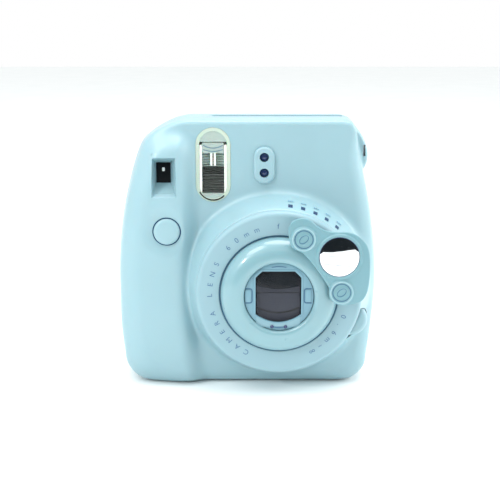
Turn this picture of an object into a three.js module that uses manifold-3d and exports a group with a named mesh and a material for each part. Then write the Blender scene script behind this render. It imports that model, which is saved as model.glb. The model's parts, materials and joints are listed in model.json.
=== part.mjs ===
// Compact instant camera with a clip-on selfie mirror, as separate working pieces.
// Millimetres, +Z up. The front faces -Y, +X is to the right seen from the front.
// The origin is the middle of the base.
import * as THREE from 'three';
import { mergeVertices } from 'three/addons/utils/BufferGeometryUtils.js';
import Module from 'manifold-3d';

const wasm = await Module();
wasm.setup();

// ---------------------------------------------------------------- driving dimensions
const bodyHeight = 118.3;
const frontY = -9.1; // flat front of the body
const partingY = 6; // front and rear covers meet here
const backY = 35.6; // outside of the film door
const wall = 2; // cover wall
const gap = 0.3; // clearance between pieces that meet
const halfGap = gap / 2;

const lensX = 13.2; // optical axis
const lensZ = 46.3;
const coneFootR = 40.3; // fixed cone round the lens
const coneTopR = 35.5;
const coneFootY = -10.6;
const coneTopY = -22.6;
const dialFaceY = -26.1; // turning ring round the lens
const dialInnerR = 25.6;
const hoodR = 24.5; // rounded nose of the lens barrel
const hoodRimY = -32.6;
const hoodMouthR = 14.7;
const barrelWall = 1.7;
const guideInnerR = 31; // tube that the barrel slides in
const guideOuterR = 32.4;

const gripX = -24.5; // right edge of the hand grip
const gripY = -16.3; // front of the hand grip
const buttonX = -34.7; // shutter button
const buttonZ = 71;
const buttonR = 5.6;
const lensButtonX = 45; // lens release button
const lensButtonZ = 31.5;
const lensButtonR = 7.5;

const finder = { x0: -40.4, x1: -30.4, z0: 85.8, z1: 102.9, windowX: -36.1, windowZ: 95.6 };
const flash = { x: -14.8, z: 99.1, width: 13.7, height: 31.7 };
const boss = { x: 7.1, z: 98.8, width: 9, height: 16, holeR: 2, upperZ: 102.3, lowerZ: 95.6 };

const chamber = { x0: -17.8, x1: 44.2, y0: 10.5, y1: 29.3, z0: 5.5, z1: 99.5, wall: 1.5 };
const aperture = { width: 46, height: 62 };
const lightBox = { half: 31.2, y0: 0.8 };
const holder = { x0: -50.2, x1: -19.7, y0: 8.4, y1: 26.4, z0: 13.8, z1: 68.6, wall: 1 };

const rollerR = 2.8;
const rollerZ = 105;
const rollerFrontY = 9.5;
const rollerRearY = 15.5;
const journalR = 1.2;
const gearModule = 0.6;
const gearX = -24.6; // outer face of the gear train
const gearWidth = 3;
const rollerTeeth = 10;
const driveTeeth = 26;
const pinionTeeth = 10;

const door = { x1: 48, y0: 31.6, z0: 3.4, z1: 109, corner: 6 };
const hingeX = -24.3; // film door hinge, an upright barrel
const hingeY = 32.4;
const hingeR = 3.2;
const pinZ0 = 12;
const pinZ1 = 100;
const knuckleZ0 = 50; // the rear cover's own length of the hinge barrel
const knuckleZ1 = 60;

const fine = 40; // sides of a large turned piece
const coarse = 20; // sides of a small one

// ---------------------------------------------------------------- colours
const paint = {
  blue: [0xa5d0da, 0.45, 0],
  deepBlue: [0x8fc0ce, 0.5, 0],
  black: [0x17181b, 0.6, 0],
  smoke: [0x3a3f47, 0.2, 0],
  clear: [0xdfe6dc, 0.1, 0],
  steel: [0xb9bcc0, 0.3, 1],
  brass: [0xc9a85a, 0.35, 1],
  mirror: [0xe9ecef, 0.05, 1],
  white: [0xe8e8e4, 0.5, 0],
  green: [0x1f5a3a, 0.5, 0],
  lamp: [0x1d2f5c, 0.3, 0],
};

const group = new THREE.Group();

// ---------------------------------------------------------------- solid helpers
function signedVolume(position, index) {
  const a = new THREE.Vector3();
  const b = new THREE.Vector3();
  const c = new THREE.Vector3();
  let sum = 0;
  for (let i = 0; i < index.length; i += 3) {
    a.fromBufferAttribute(position, index[i]);
    b.fromBufferAttribute(position, index[i + 1]);
    c.fromBufferAttribute(position, index[i + 2]);
    sum += a.dot(b.cross(c));
  }
  return sum / 6;
}

// A closed three.js geometry as a solid whose faces point out.
function solid(geometry) {
  geometry.deleteAttribute('normal');
  geometry.deleteAttribute('uv');
  const merged = mergeVertices(geometry, 1e-4);
  const raw = Array.from(merged.index.array);
  const kept = [];
  for (let i = 0; i < raw.length; i += 3) {
    const [a, b, c] = [raw[i], raw[i + 1], raw[i + 2]];
    if (a !== b && b !== c && c !== a) kept.push(a, b, c);
  }
  const position = merged.attributes.position;
  if (signedVolume(position, kept) < 0) kept.reverse();
  const mesh = new wasm.Mesh({
    numProp: 3,
    vertProperties: new Float32Array(position.array),
    triVerts: new Uint32Array(kept),
  });
  return new wasm.Manifold(mesh);
}

function addPiece(name, piece, [color, roughness, metalness]) {
  const mesh = piece.getMesh();
  const geometry = new THREE.BufferGeometry();
  geometry.setAttribute('position', new THREE.BufferAttribute(new Float32Array(mesh.vertProperties), 3));
  geometry.setIndex(new THREE.BufferAttribute(new Uint32Array(mesh.triVerts), 1));
  geometry.computeVertexNormals();
  const material = new THREE.MeshStandardMaterial({ color, roughness, metalness });
  const node = new THREE.Mesh(geometry, material);
  node.name = name;
  group.add(node);
}

function join(...pieces) {
  return pieces.reduce((sum, piece) => sum.add(piece));
}

function cut(piece, ...tools) {
  return tools.reduce((rest, tool) => rest.subtract(tool), piece);
}

function box(x0, x1, y0, y1, z0, z1) {
  const geometry = new THREE.BoxGeometry(x1 - x0, y1 - y0, z1 - z0);
  geometry.translate((x0 + x1) / 2, (y0 + y1) / 2, (z0 + z1) / 2);
  return solid(geometry);
}

function rodX(y, z, radius, x0, x1, sides = coarse) {
  const geometry = new THREE.CylinderGeometry(radius, radius, x1 - x0, sides);
  geometry.rotateZ(Math.PI / 2);
  geometry.translate((x0 + x1) / 2, y, z);
  return solid(geometry);
}

function rodY(x, z, radius, y0, y1, sides = coarse, backRadius = radius) {
  const geometry = new THREE.CylinderGeometry(backRadius, radius, y1 - y0, sides);
  geometry.translate(x, (y0 + y1) / 2, z);
  return solid(geometry);
}

function rodZ(x, y, radius, z0, z1, sides = coarse) {
  const geometry = new THREE.CylinderGeometry(radius, radius, z1 - z0, sides);
  geometry.rotateX(Math.PI / 2);
  geometry.translate(x, y, (z0 + z1) / 2);
  return solid(geometry);
}

// A closed [radius, y] profile turned about an axis along Y.
function turned(profile, x = lensX, z = lensZ, sides = fine) {
  const points = [...profile, profile[0]].map(([r, y]) => new THREE.Vector2(r, y));
  const geometry = new THREE.LatheGeometry(points, sides);
  geometry.translate(x, 0, z);
  return solid(geometry);
}

function ring(innerR, outerR, y0, y1, x = lensX, z = lensZ, sides = fine) {
  return turned([[innerR, y0], [outerR, y0], [outerR, y1], [innerR, y1]], x, z, sides);
}

// A shape drawn in X and Z, carried from y0 back to y1.
function plate(shape, y0, y1, curveSegments = 6) {
  const geometry = new THREE.ExtrudeGeometry(shape, { depth: y1 - y0, bevelEnabled: false, curveSegments });
  geometry.rotateX(Math.PI / 2);
  geometry.translate(0, y1, 0);
  return solid(geometry);
}

// A shape drawn in Y and Z, carried from x0 to x1.
function slab(shape, x0, x1) {
  const geometry = new THREE.ExtrudeGeometry(shape, { depth: x1 - x0, bevelEnabled: false });
  const alongX = new THREE.Matrix4().makeBasis(
    new THREE.Vector3(0, 1, 0),
    new THREE.Vector3(0, 0, 1),
    new THREE.Vector3(1, 0, 0),
  );
  geometry.applyMatrix4(alongX);
  geometry.translate(x0, 0, 0);
  return solid(geometry);
}

function roundedRect(x0, x1, z0, z1, radius) {
  const shape = new THREE.Shape();
  shape.absarc(x1 - radius, z1 - radius, radius, 0, Math.PI / 2);
  shape.absarc(x0 + radius, z1 - radius, radius, Math.PI / 2, Math.PI);
  shape.absarc(x0 + radius, z0 + radius, radius, Math.PI, 1.5 * Math.PI);
  shape.absarc(x1 - radius, z0 + radius, radius, 1.5 * Math.PI, 2 * Math.PI);
  shape.closePath();
  return shape;
}

function stadium({ x, z, width, height }, grow = 0) {
  const radius = width / 2 + grow;
  const arm = (height - width) / 2;
  const shape = new THREE.Shape();
  shape.absarc(x, z + arm, radius, 0, Math.PI);
  shape.absarc(x, z - arm, radius, Math.PI, 2 * Math.PI);
  shape.closePath();
  return shape;
}

// A smooth closed outline that touches the middle of each side of a control polygon.
function smoothOutline(corners, steps) {
  const points = [];
  corners.forEach((corner, i) => {
    const before = corners[(i + corners.length - 1) % corners.length];
    const after = corners[(i + 1) % corners.length];
    for (let k = 0; k < steps; k += 1) {
      const t = k / steps;
      const start = [(before[0] + corner[0]) / 2, (before[1] + corner[1]) / 2];
      const end = [(corner[0] + after[0]) / 2, (corner[1] + after[1]) / 2];
      const [u, v, w] = [(1 - t) ** 2, 2 * t * (1 - t), t * t];
      points.push([u * start[0] + v * corner[0] + w * end[0], u * start[1] + v * corner[1] + w * end[1]]);
    }
  });
  return points;
}

// ---------------------------------------------------------------- covers
const bodyCorners = [
  [-33, 118.3], [-41.5, 115], [-48, 108], [-52.9, 94], [-56.4, 74], [-58.2, 55], [-58.1, 38],
  [-56.2, 20], [-51.5, 8.5], [-42, 1], [-30, 0], [-10, 0], [20, 0], [38, 0], [50, 0], [56, 7],
  [57.4, 20], [58.4, 38], [57.3, 60], [54.8, 80], [51.2, 97], [48.6, 108], [46.6, 117],
  [44, 118.3], [34, 118.3], [0, 118.3], [-20, 118.3],
];
const gripCorners = [
  [-36, 113], [-43, 110.5], [-48, 104], [-52.4, 94], [-56, 74], [-57.8, 55], [-57.8, 38],
  [-55.8, 20], [-51, 8.5], [-41.5, 1.3], [-30, 0.3], [-24, 0.3], [-21, 5], [-22.5, 14],
  [gripX, 30], [gripX, 60], [gripX, 90], [gripX, 104], [-27, 111],
];

// Stacked rings from a front face round its edge and back to a flat rear face.
// Each ring is the outline drawn in towards its middle by a distance.
function pillow(corners, middle, face, edge, rearY, shrink, edgeSteps) {
  const outline = smoothOutline(corners, 2);
  const rings = [];
  const ringAt = (inset, y) => outline.map(([x, z]) => {
    const [dx, dz] = [middle[0] - x, middle[1] - z];
    const length = Math.hypot(dx, dz);
    const move = inset + shrink;
    return new THREE.Vector3(x + (dx / length) * move, y, z + (dz / length) * move);
  });
  for (let k = 0; k <= edgeSteps; k += 1) {
    const angle = (k / edgeSteps) * (Math.PI / 2);
    rings.push(ringAt(edge * (1 - Math.sin(angle)), face + edge * (1 - Math.cos(angle))));
  }
  rings.push(ringAt(0, rearY));
  return ringStack(rings);
}

// A solid between two or more rings of equal count, closed by a flat cap at each end.
function ringStack(givenRings) {
  const flatten = (ring) => ring.map((p) => new THREE.Vector2(p.x, p.z));
  const clockwise = THREE.ShapeUtils.isClockWise(flatten(givenRings[0]));
  const rings = clockwise ? givenRings.map((points) => [...points].reverse()) : givenRings;
  const count = rings[0].length;
  const positions = rings.flat().flatMap((p) => [p.x, p.y, p.z]);
  const index = [];
  for (let r = 0; r + 1 < rings.length; r += 1) {
    for (let i = 0; i < count; i += 1) {
      const j = (i + 1) % count;
      const [a, b, c, d] = [r * count + i, r * count + j, (r + 1) * count + i, (r + 1) * count + j];
      index.push(a, c, b, b, c, d);
    }
  }
  for (const r of [0, rings.length - 1]) {
    for (const [a, b, c] of THREE.ShapeUtils.triangulateShape(flatten(rings[r]), [])) {
      const cap = r === 0 ? [a, b, c] : [a, c, b];
      index.push(...cap.map((k) => r * count + k));
    }
  }
  const geometry = new THREE.BufferGeometry();
  geometry.setAttribute('position', new THREE.Float32BufferAttribute(positions, 3));
  geometry.setIndex(index);
  return solid(geometry);
}

const bodyMiddle = [0, 59];
const gripMiddle = [-40, 56];
const frontEdge = 6;
const gripEdge = 8;
const backEdge = 10;

function frontSolid(shrink, steps) {
  const body = pillow(bodyCorners, bodyMiddle, frontY + shrink, frontEdge, partingY + 2, shrink, steps);
  const grip = pillow(gripCorners, gripMiddle, gripY + shrink, gripEdge, partingY, shrink, steps);
  const cone = turned([
    [0, coneTopY + shrink], [coneTopR - 0.8 * shrink, coneTopY + shrink],
    [coneFootR - 0.8 * shrink, coneFootY + shrink], [coneFootR - 0.8 * shrink, 0], [0, 0],
  ]);
  return join(body, grip, cone);
}

function rearSolid(shrink, steps) {
  const flipped = pillow(bodyCorners, bodyMiddle, -(backY - shrink), backEdge, -partingY + 2, shrink, steps);
  return flipped.mirror([0, 1, 0]);
}

// A four-sided funnel from a large opening to a small one, both in planes of constant Y.
function funnel(large, small, y0, y1) {
  const corner = (r, y) => [
    new THREE.Vector3(r[0], y, r[2]), new THREE.Vector3(r[0], y, r[3]),
    new THREE.Vector3(r[1], y, r[3]), new THREE.Vector3(r[1], y, r[2]),
  ];
  return ringStack([corner(large, y0), corner(small, y1)]);
}

const finderWindow = {
  x0: finder.windowX - 3.1, x1: finder.windowX + 3.1, z0: finder.windowZ - 4.4, z1: finder.windowZ + 4.4,
};
const finderFloorY = -9;

// Walls round the finder recess, behind the skin of the grip.
function finderPocket() {
  const { x0, x1, z0, z1 } = finder;
  return box(x0 - 0.4, x1 + 1.6, gripY + 1.5, finderFloorY + 1.2, z0 - 0.5, z1 + 1.5);
}

function finderRecess() {
  const w = finderWindow;
  const slope = 0.5;
  const mouth = [finder.x0 - slope, finder.x1 + slope, finder.z0 - slope, finder.z1 + slope];
  return funnel(mouth, [w.x0, w.x1, w.z0, w.z1], gripY - 0.6, finderFloorY);
}

function lensButtonShape(grow) {
  const outer = rodY(lensButtonX, lensButtonZ, lensButtonR + grow, -24, -5, 32);
  const inner = rodY(lensX, lensZ, coneTopR + 0.9 - grow, -30, 0, 64);
  return cut(outer, inner);
}

const lampAngles = [7.6, 16.1, 24.8, 33.3, 42];
const lampR = 36.9;
const lampY = -19.6;

// A small block on the slope of the cone, at an angle from up towards +X.
function lampBlock(angle, width, height, depth) {
  const geometry = new THREE.BoxGeometry(width, depth, height);
  geometry.translate(0, lampY, lampR);
  geometry.rotateY(THREE.MathUtils.degToRad(angle));
  geometry.translate(lensX, 0, lensZ);
  return solid(geometry);
}

const screwPlaces = [[-36, 14], [40, 14]];
const screwHeadR = 2.1;

function screwBoss(x, y) {
  return rodZ(x, y, 3.6, 0.3, 3.6, 16);
}

function screwBore(x, y) {
  return join(rodZ(x, y, screwHeadR + gap, -1, 2.2, 16), rodZ(x, y, 1.3, 2, 6, 12));
}

function frontCover() {
  const keep = box(-70, 70, -40, partingY - halfGap, -10, 130);
  const shell = cut(frontSolid(0, 4), frontSolid(wall, 2), box(-80, 80, partingY - halfGap, 20, -10, 130));
  const pocket = finderPocket();
  const whole = join(shell, pocket).intersect(keep);
  return cut(
    whole,
    rodY(lensX, lensZ, coneTopR - 1.4, -30, 0, fine),
    finderRecess(),
    box(finderWindow.x0, finderWindow.x1, -10, 0, finderWindow.z0, finderWindow.z1),
    rodY(buttonX, buttonZ, buttonR + gap, -20, -5, 32),
    rodY(buttonX, buttonZ, 9, gripY - 3, gripY + 0.5, 32, 7.4),
    plate(stadium(flash, gap), -20, 0, 12),
    plate(stadium(boss, -1.2), -20, 0, 8),
    lensButtonShape(gap),
    ...lampAngles.map((angle) => lampBlock(angle, 2.2, 1.3, 8)),
  );
}

const batteryDoor = { y0: 8, y1: 26.8, z0: 13, z1: 69.4 };

function rearShell() {
  const cavity = rearSolid(wall, 2);
  return cut(rearSolid(0, 4), cavity).intersect(box(-70, 70, partingY + halfGap, 40, -10, 130));
}

function batteryDoorBlock(grow) {
  const d = batteryDoor;
  return box(-62, -49.9, d.y0 - grow, d.y1 + grow, d.z0 - grow, d.z1 + grow);
}

function doorPrism(grow) {
  const shape = roundedRect(hingeX - 8, door.x1 + grow, door.z0 - grow, door.z1 + grow, door.corner);
  const right = box(hingeX, 70, 25, 40, -10, 130);
  return plate(shape, door.y0 - grow, 40).intersect(right);
}

const hingeBlock = [-30, -20.4, 27.2, 34, 1, 112];
const lug = [[45, 94], [51.5, 95], [54.4, 101], [54.2, 109], [50.5, 116], [44, 117.5]];
const exitSlot = { x0: -17, x1: 43, y0: 8.8, y1: 16.2 };
const eyepiece = { x0: -43, x1: -29.6, z0: 88.4, z1: 102.8 };
const counter = { x: -38.2, z: 79.6, dialR: 7.2, windowX: -38.2, windowZ: 74.6 };

const latchSlot = [43.4, 45.6, 29.9, 32, 60.9, 71.9];
const strapSlot = { x0: 51, x1: 52.5, z0: 98.5, z1: 107 };

function strapLug() {
  const outline = smoothOutline(lug, 2).map(([x, z]) => new THREE.Vector2(x, z));
  return plate(new THREE.Shape(outline), 7.7, 18.3).intersect(box(47.5, 60, 0, 30, 90, 120));
}

function rearCover() {
  const outer = rearSolid(0, 4);
  const ledge = box(-20.4, 51.5, 29.6, 34, 1.5, 112);
  const post = box(...hingeBlock);
  const bosses = screwPlaces.map(([x, y]) => screwBoss(x, y));
  const dialStud = rodY(counter.x, counter.z, 1, 30.8, 34.2, 12);
  const whole = join(rearShell(), join(ledge, post, dialStud, ...bosses).intersect(outer), strapLug());
  const { x0, x1, z0, z1 } = chamber;
  const rim = chamber.wall + gap;
  const knuckle = rodZ(hingeX, hingeY, hingeR, knuckleZ0 + gap, knuckleZ1 - gap, 32);
  const lowerGroove = rodZ(hingeX, hingeY, hingeR + gap, door.z0 - gap, knuckleZ0 + gap, 32);
  const upperGroove = rodZ(hingeX, hingeY, hingeR + gap, knuckleZ1 - gap, door.z1 + gap, 32);
  const swingRoom = box(hingeX - hingeR - gap, hingeX, hingeY, 40, door.z0 - gap, door.z1 + gap);
  const fitted = join(cut(whole, doorPrism(gap), lowerGroove, upperGroove, swingRoom), knuckle);
  return cut(
    fitted,
    box(x0, x1, 20, 40, z0, z1),
    box(x0 - rim, x1 + rim, 7, chamber.y1 + gap, z0 - rim, z1 + rim),
    box(...latchSlot),
    rodZ(hingeX, hingeY, journalR + gap, knuckleZ0 - 1, knuckleZ1 + 1, 16),
    batteryDoorBlock(gap),
    rodZ(-58.4, batteryDoor.y1 + 0.9, 2, batteryDoor.z0 - gap, batteryDoor.z1 + gap, 16),
    box(exitSlot.x0 - gap, exitSlot.x1 + gap, exitSlot.y0 - gap, exitSlot.y1 + gap, 112, 125),
    plate(roundedRect(eyepiece.x0 - gap, eyepiece.x1 + gap, eyepiece.z0 - gap, eyepiece.z1 + gap, 2), 28, 40),
    box(counter.windowX - 3.3, counter.windowX + 3.3, 30, 40, counter.windowZ - 2.5, counter.windowZ + 2.5),
    box(strapSlot.x0, strapSlot.x1, 0, 30, strapSlot.z0, strapSlot.z1),
    ...screwPlaces.map(([x, y]) => screwBore(x, y)),
  );
}

function filmDoor() {
  const skin = cut(rearSolid(0, 4), box(-70, 70, 0, door.y0, -10, 130)).intersect(doorPrism(0));
  const hingeBarrel = rodZ(hingeX, hingeY, hingeR, door.z0, door.z1, 32).intersect(rearSolid(0, 4));
  return cut(
    join(skin, hingeBarrel),
    rodZ(hingeX, hingeY, journalR + gap, -5, 130, 16),
    rodZ(hingeX, hingeY, hingeR + gap, knuckleZ0, knuckleZ1, 32),
    plate(roundedRect(5.7, 20.3, 37.7, 66.3, 2.3), 25, 40),
    box(42.4, 46.6, 33.3, 40, 58.2, 74.8),
    box(43.4, 45.6, 25, 40, 61.2, 71.8),
  );
}


// ---------------------------------------------------------------- lens
function exposureDial() {
  const face = turned([
    [dialInnerR, dialFaceY], [32.9, dialFaceY], [33.05, dialFaceY + 0.3], [33.2, dialFaceY],
    [34.6, dialFaceY], [35.3, dialFaceY + 0.6], [coneTopR, dialFaceY + 1.6], [coneTopR, coneTopY - gap],
    [33.7, coneTopY - gap], [33.7, -14], [guideOuterR + gap, -14], [guideOuterR + gap, -24.3],
    [dialInnerR, -24.3],
  ], lensX, lensZ, fine);
  const geometry = new THREE.BoxGeometry(1.2, 1, 1.4);
  geometry.translate(0, dialFaceY - 0.2, 34);
  geometry.rotateY(THREE.MathUtils.degToRad(lampAngles[4]));
  geometry.translate(lensX, 0, lensZ);
  return join(face, solid(geometry));
}

function lensGuideTube() {
  const flange = plate(roundedRect(lensX - 33, lensX + 33, lensZ - 33, lensZ + 33, 4), -1, 0.4);
  const tube = rodY(lensX, lensZ, guideOuterR, -24, 0, fine);
  return cut(join(flange, tube), rodY(lensX, lensZ, guideInnerR, -30, 5, fine));
}

function lensBarrel() {
  const innerR = hoodR - barrelWall;
  return turned([
    [innerR, -23.7], [hoodR, -23.7], [hoodR, -4], [guideInnerR - gap, -4], [guideInnerR - gap, -1.4],
    [innerR, -1.4],
  ]);
}

function lensHood() {
  const innerR = hoodR - barrelWall;
  return turned([
    [hoodMouthR, -31.8], [15.2, -32.4], [16.4, hoodRimY], [18.6, -32.4], [20.8, -31.6], [22.7, -30.1],
    [23.9, -28.2], [hoodR, -26], [hoodR, -24], [innerR, -24], [innerR, -26.6], [21.4, -28.6],
    [18.5, -29.4], [hoodMouthR, -29.4],
  ]);
}

const windowShape = { half: 9.4, top: 10.9, chamfer: 2, bottomR: 16 };

// Straight sides, a flat top with cut corners and a bottom that bows down.
function windowOutline(grow) {
  const [w, top, c] = [windowShape.half + grow, windowShape.top + grow, windowShape.chamfer];
  const x = lensX - 0.3;
  const z = lensZ;
  const shape = new THREE.Shape();
  shape.moveTo(x + w, z + top - c);
  shape.lineTo(x + w - c, z + top);
  shape.lineTo(x - w + c, z + top);
  shape.lineTo(x - w, z + top - c);
  shape.lineTo(x - w, z - 7.6);
  shape.quadraticCurveTo(x, z - 14.2 - grow, x + w, z - 7.6);
  shape.closePath();
  return shape;
}

function lensFacePlate() {
  const disc = rodY(lensX, lensZ, hoodMouthR - gap, -30.6, -29.7, fine);
  return cut(disc, plate(windowOutline(0.2), -35, -25, 8));
}

function coverLeaf(z0, z1, y0, y1) {
  return box(lensX - 9.2, lensX + 9.2, y0, y1, z0, z1);
}

function lensCell() {
  const disc = ring(7.4, hoodR - barrelWall - gap, -24.8, -23.6, lensX, lensZ, 32);
  const tube = ring(7.4, 9, -23.7, -18.8, lensX, lensZ, 32);
  return join(disc, tube);
}

function lensElement() {
  return turned([[0, -25.6], [3.6, -25.2], [7, -24], [7, -21.6], [0, -21]], lensX, lensZ, 24);
}

function shutterPlate() {
  const disc = rodY(lensX, lensZ, hoodR - barrelWall - gap, -18.4, -17.6, 32);
  const pivot = rodY(lensX + 11, lensZ + 4, 1, -17.7, -15.4, 12);
  return cut(join(disc, pivot), rodY(lensX, lensZ, 2.6, -20, -15, 16));
}

function shutterBlade() {
  const arm = new THREE.Shape();
  arm.moveTo(lensX + 12.6, lensZ + 6.4);
  arm.lineTo(lensX + 3, lensZ + 4.2);
  arm.lineTo(lensX - 4.4, lensZ + 4);
  arm.lineTo(lensX - 4.4, lensZ - 4);
  arm.lineTo(lensX + 4, lensZ - 4);
  arm.lineTo(lensX + 13.2, lensZ + 1.8);
  arm.closePath();
  return cut(plate(arm, -17.2, -16.7), rodY(lensX + 11, lensZ + 4, 1.3, -20, -15, 12));
}

// ---------------------------------------------------------------- selfie mirror clip
const mirrorX = 37.8;
const mirrorZ = 64.4;
const mirrorR = 8.1;
const armFrontY = -35.6;
const armBackY = -33.2;
const clipLobes = [[23.1, 71.8], [39, 49.3]];
const armCorners = [
  [16.2, 79], [24, 81.4], [29.5, 76.3], [35, 74.6], [42.5, 75.2], [49.8, 70], [51, 59], [49.6, 46.5],
  [43.6, 43.6], [36.6, 43.8], [33.9, 49.6], [34, 51.5], [22.6, 67.2], [17.4, 67.6],
];

function mirrorArm() {
  const outline = smoothOutline(armCorners, 3).map(([x, z]) => new THREE.Vector2(x, z));
  const sheet = plate(new THREE.Shape(outline), armFrontY + 0.4, armBackY);
  const rings = clipLobes.map(([x, z]) => ring(4, 5.2, armFrontY, armBackY, x, z, 24));
  const rim = ring(mirrorR + 0.5, mirrorR + 1.2, armFrontY, armBackY, mirrorX, mirrorZ, 32);
  const legs = clipLobes.map(([x, z]) => {
    const collar = ring(24.8, 25.3, armBackY - 0.5, -27.4, lensX, lensZ, 96);
    return collar.intersect(rodY(x, z, 4.6, -40, -20, 16));
  });
  return cut(join(sheet, ...rings, rim, ...legs), rodY(mirrorX, mirrorZ, mirrorR + gap, -40, -34.2, 32));
}

function selfieMirror() {
  return turned([[0, -35.4], [5, -35.2], [mirrorR, -34.9], [mirrorR, -34.5], [0, -34.5]], mirrorX, mirrorZ, 32);
}

// ---------------------------------------------------------------- film chamber
function filmChamberFrame() {
  const c = chamber;
  const outer = box(c.x0 - c.wall, c.x1 + c.wall, c.y0 - c.wall, c.y1, c.z0 - c.wall, c.z1 + c.wall);
  const half = lightBox.half;
  const hood = box(lensX - half - 1.5, lensX + half + 1.5, lightBox.y0, 10, lensZ - half - 1.5, lensZ + half + 1.5);
  const earZ = rollerZ + 3.4;
  const ears = [
    box(c.x0 - c.wall, c.x0, 6.6, 18.4, c.z1, earZ),
    box(c.x1, c.x1 + c.wall, 6.6, 18.4, c.z1, earZ),
  ];
  const [w, h] = [aperture.width / 2, aperture.height / 2];
  return cut(
    join(outer, hood, ...ears),
    box(c.x0, c.x1, c.y0, 40, c.z0, c.z1),
    box(lensX - half, lensX + half, -5, c.y0 - c.wall, lensZ - half, lensZ + half),
    box(lensX - w, lensX + w, 5, 15, lensZ - h, lensZ + h),
    box(lensX - 28, lensX + 28, 10.8, 14.2, 95, 103),
    rodX(rollerFrontY, rollerZ, journalR + gap, -30, 60, 16),
    rodX(rollerRearY, rollerZ, journalR + gap, -30, 60, 16),
  );
}

function roller(y) {
  const body = rodX(y, rollerZ, rollerR, chamber.x0 + 1, chamber.x1 - 1, 24);
  return join(body, rodX(y, rollerZ, journalR, gearX, chamber.x1 + 1.8, 16));
}

// ---------------------------------------------------------------- gear train
const driveGearY = 1.9;
const driveGearZ = rollerZ - Math.sqrt(((rollerTeeth + driveTeeth) * gearModule / 2) ** 2 - (rollerFrontY - 1.9) ** 2);
const pinionZ = driveGearZ - (driveTeeth + pinionTeeth) * gearModule / 2;

// Spur gear about an axis along X. phase is the angle of one tooth's middle, from +Y towards +Z.
function gear(y, z, teeth, phase, boreR) {
  const pitchR = (teeth * gearModule) / 2;
  const tipR = pitchR + 0.8 * gearModule;
  const rootR = pitchR - 1.15 * gearModule;
  const step = (2 * Math.PI) / teeth;
  const points = [];
  for (let i = 0; i < teeth; i += 1) {
    const middle = phase + i * step;
    for (const [radius, part] of [[rootR, -0.3], [tipR, -0.11], [tipR, 0.11], [rootR, 0.3]]) {
      const angle = middle + part * step;
      points.push(new THREE.Vector2(y + radius * Math.cos(angle), z + radius * Math.sin(angle)));
    }
  }
  const disc = slab(new THREE.Shape(points), gearX, gearX + gearWidth);
  return cut(disc, rodX(y, z, boreR, gearX - 1, gearX + gearWidth + 1, 16));
}

// Tooth phase of a gear that meshes with another across a line of centres.
function meshedPhase(fromPhase, fromTeeth, teeth, lineAngle) {
  const turn = 2 * Math.PI;
  const along = ((lineAngle - fromPhase) * fromTeeth) / turn;
  return lineAngle + Math.PI + ((along + 0.5) * turn) / teeth;
}

const toFront = Math.atan2(rollerZ - driveGearZ, rollerFrontY - driveGearY);
const frontPhase = meshedPhase(0, driveTeeth, rollerTeeth, toFront);
const rearPhase = meshedPhase(frontPhase, rollerTeeth, rollerTeeth, 0);
const pinionPhase = meshedPhase(0, driveTeeth, pinionTeeth, -Math.PI / 2);
const motorShaftR = 0.8;
const axleR = 1.2;

function gearBracket() {
  const sheet = box(-21.3, -19.6, -2.6, 18.4, 82, 108.4);
  const stud = rodX(driveGearY, driveGearZ, axleR, gearX - 0.6, -20.8, 16);
  return cut(
    join(sheet, stud),
    rodX(rollerFrontY, rollerZ, journalR + gap, -22, -19, 16),
    rodX(rollerRearY, rollerZ, journalR + gap, -22, -19, 16),
    rodX(driveGearY, pinionZ, 1.6, -22, -19, 16),
  );
}

function motor() {
  return rodX(driveGearY, pinionZ, 4.6, -19.3, 4, 24);
}

function motorPinion() {
  const toothed = gear(driveGearY, pinionZ, pinionTeeth, pinionPhase, 0.5);
  return join(toothed, rodX(driveGearY, pinionZ, motorShaftR, gearX, -20.3, 12));
}

function filmExitTrim() {
  const e = exitSlot;
  const frame = box(e.x0, e.x1, e.y0, e.y1, 112.6, bodyHeight);
  return cut(frame, box(e.x0 + 2, e.x1 - 2, 10.7, 14.3, 100, 125));
}

function filmExitFlap() {
  const leaf = box(-14.7, 40.7, 11, 13.7, 117.1, 117.8);
  return join(leaf, rodX(13.5, 117.2, 0.5, -14.7, 40.7, 10));
}

// ---------------------------------------------------------------- batteries
function batteryHolder() {
  const h = holder;
  const outer = box(h.x0, h.x1, h.y0, h.y1, h.z0, h.z1);
  return cut(outer, box(h.x0 - 5, h.x1 - h.wall, h.y0 + h.wall, h.y1 - h.wall, h.z0 + h.wall, h.z1 - h.wall));
}

function batteryContact(z0, z1, bumpZ0, bumpZ1) {
  const strip = box(holder.x0 + 1, holder.x1 - 1.4, 12, 22.8, z0, z1);
  const bumps = [holder.x0 + 8, holder.x0 + 22].map((x) => rodZ(x, 17.4, 2.5, bumpZ0, bumpZ1, 12));
  return join(strip, ...bumps);
}

function batteryDoorPiece() {
  const d = batteryDoor;
  return rearShell().intersect(box(-62, -50.6, d.y0, d.y1, d.z0, d.z1));
}

// ---------------------------------------------------------------- small assemblies
function shutterButton() {
  return turned([
    [0, -17], [3.2, -16.9], [5, -16.6], [buttonR, -16], [buttonR, -12.6], [6.4, -12.6], [6.4, -11.6],
    [1.3, -11.6], [1.3, -8.9], [0, -8.9],
  ], buttonX, buttonZ, 32);
}

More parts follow.
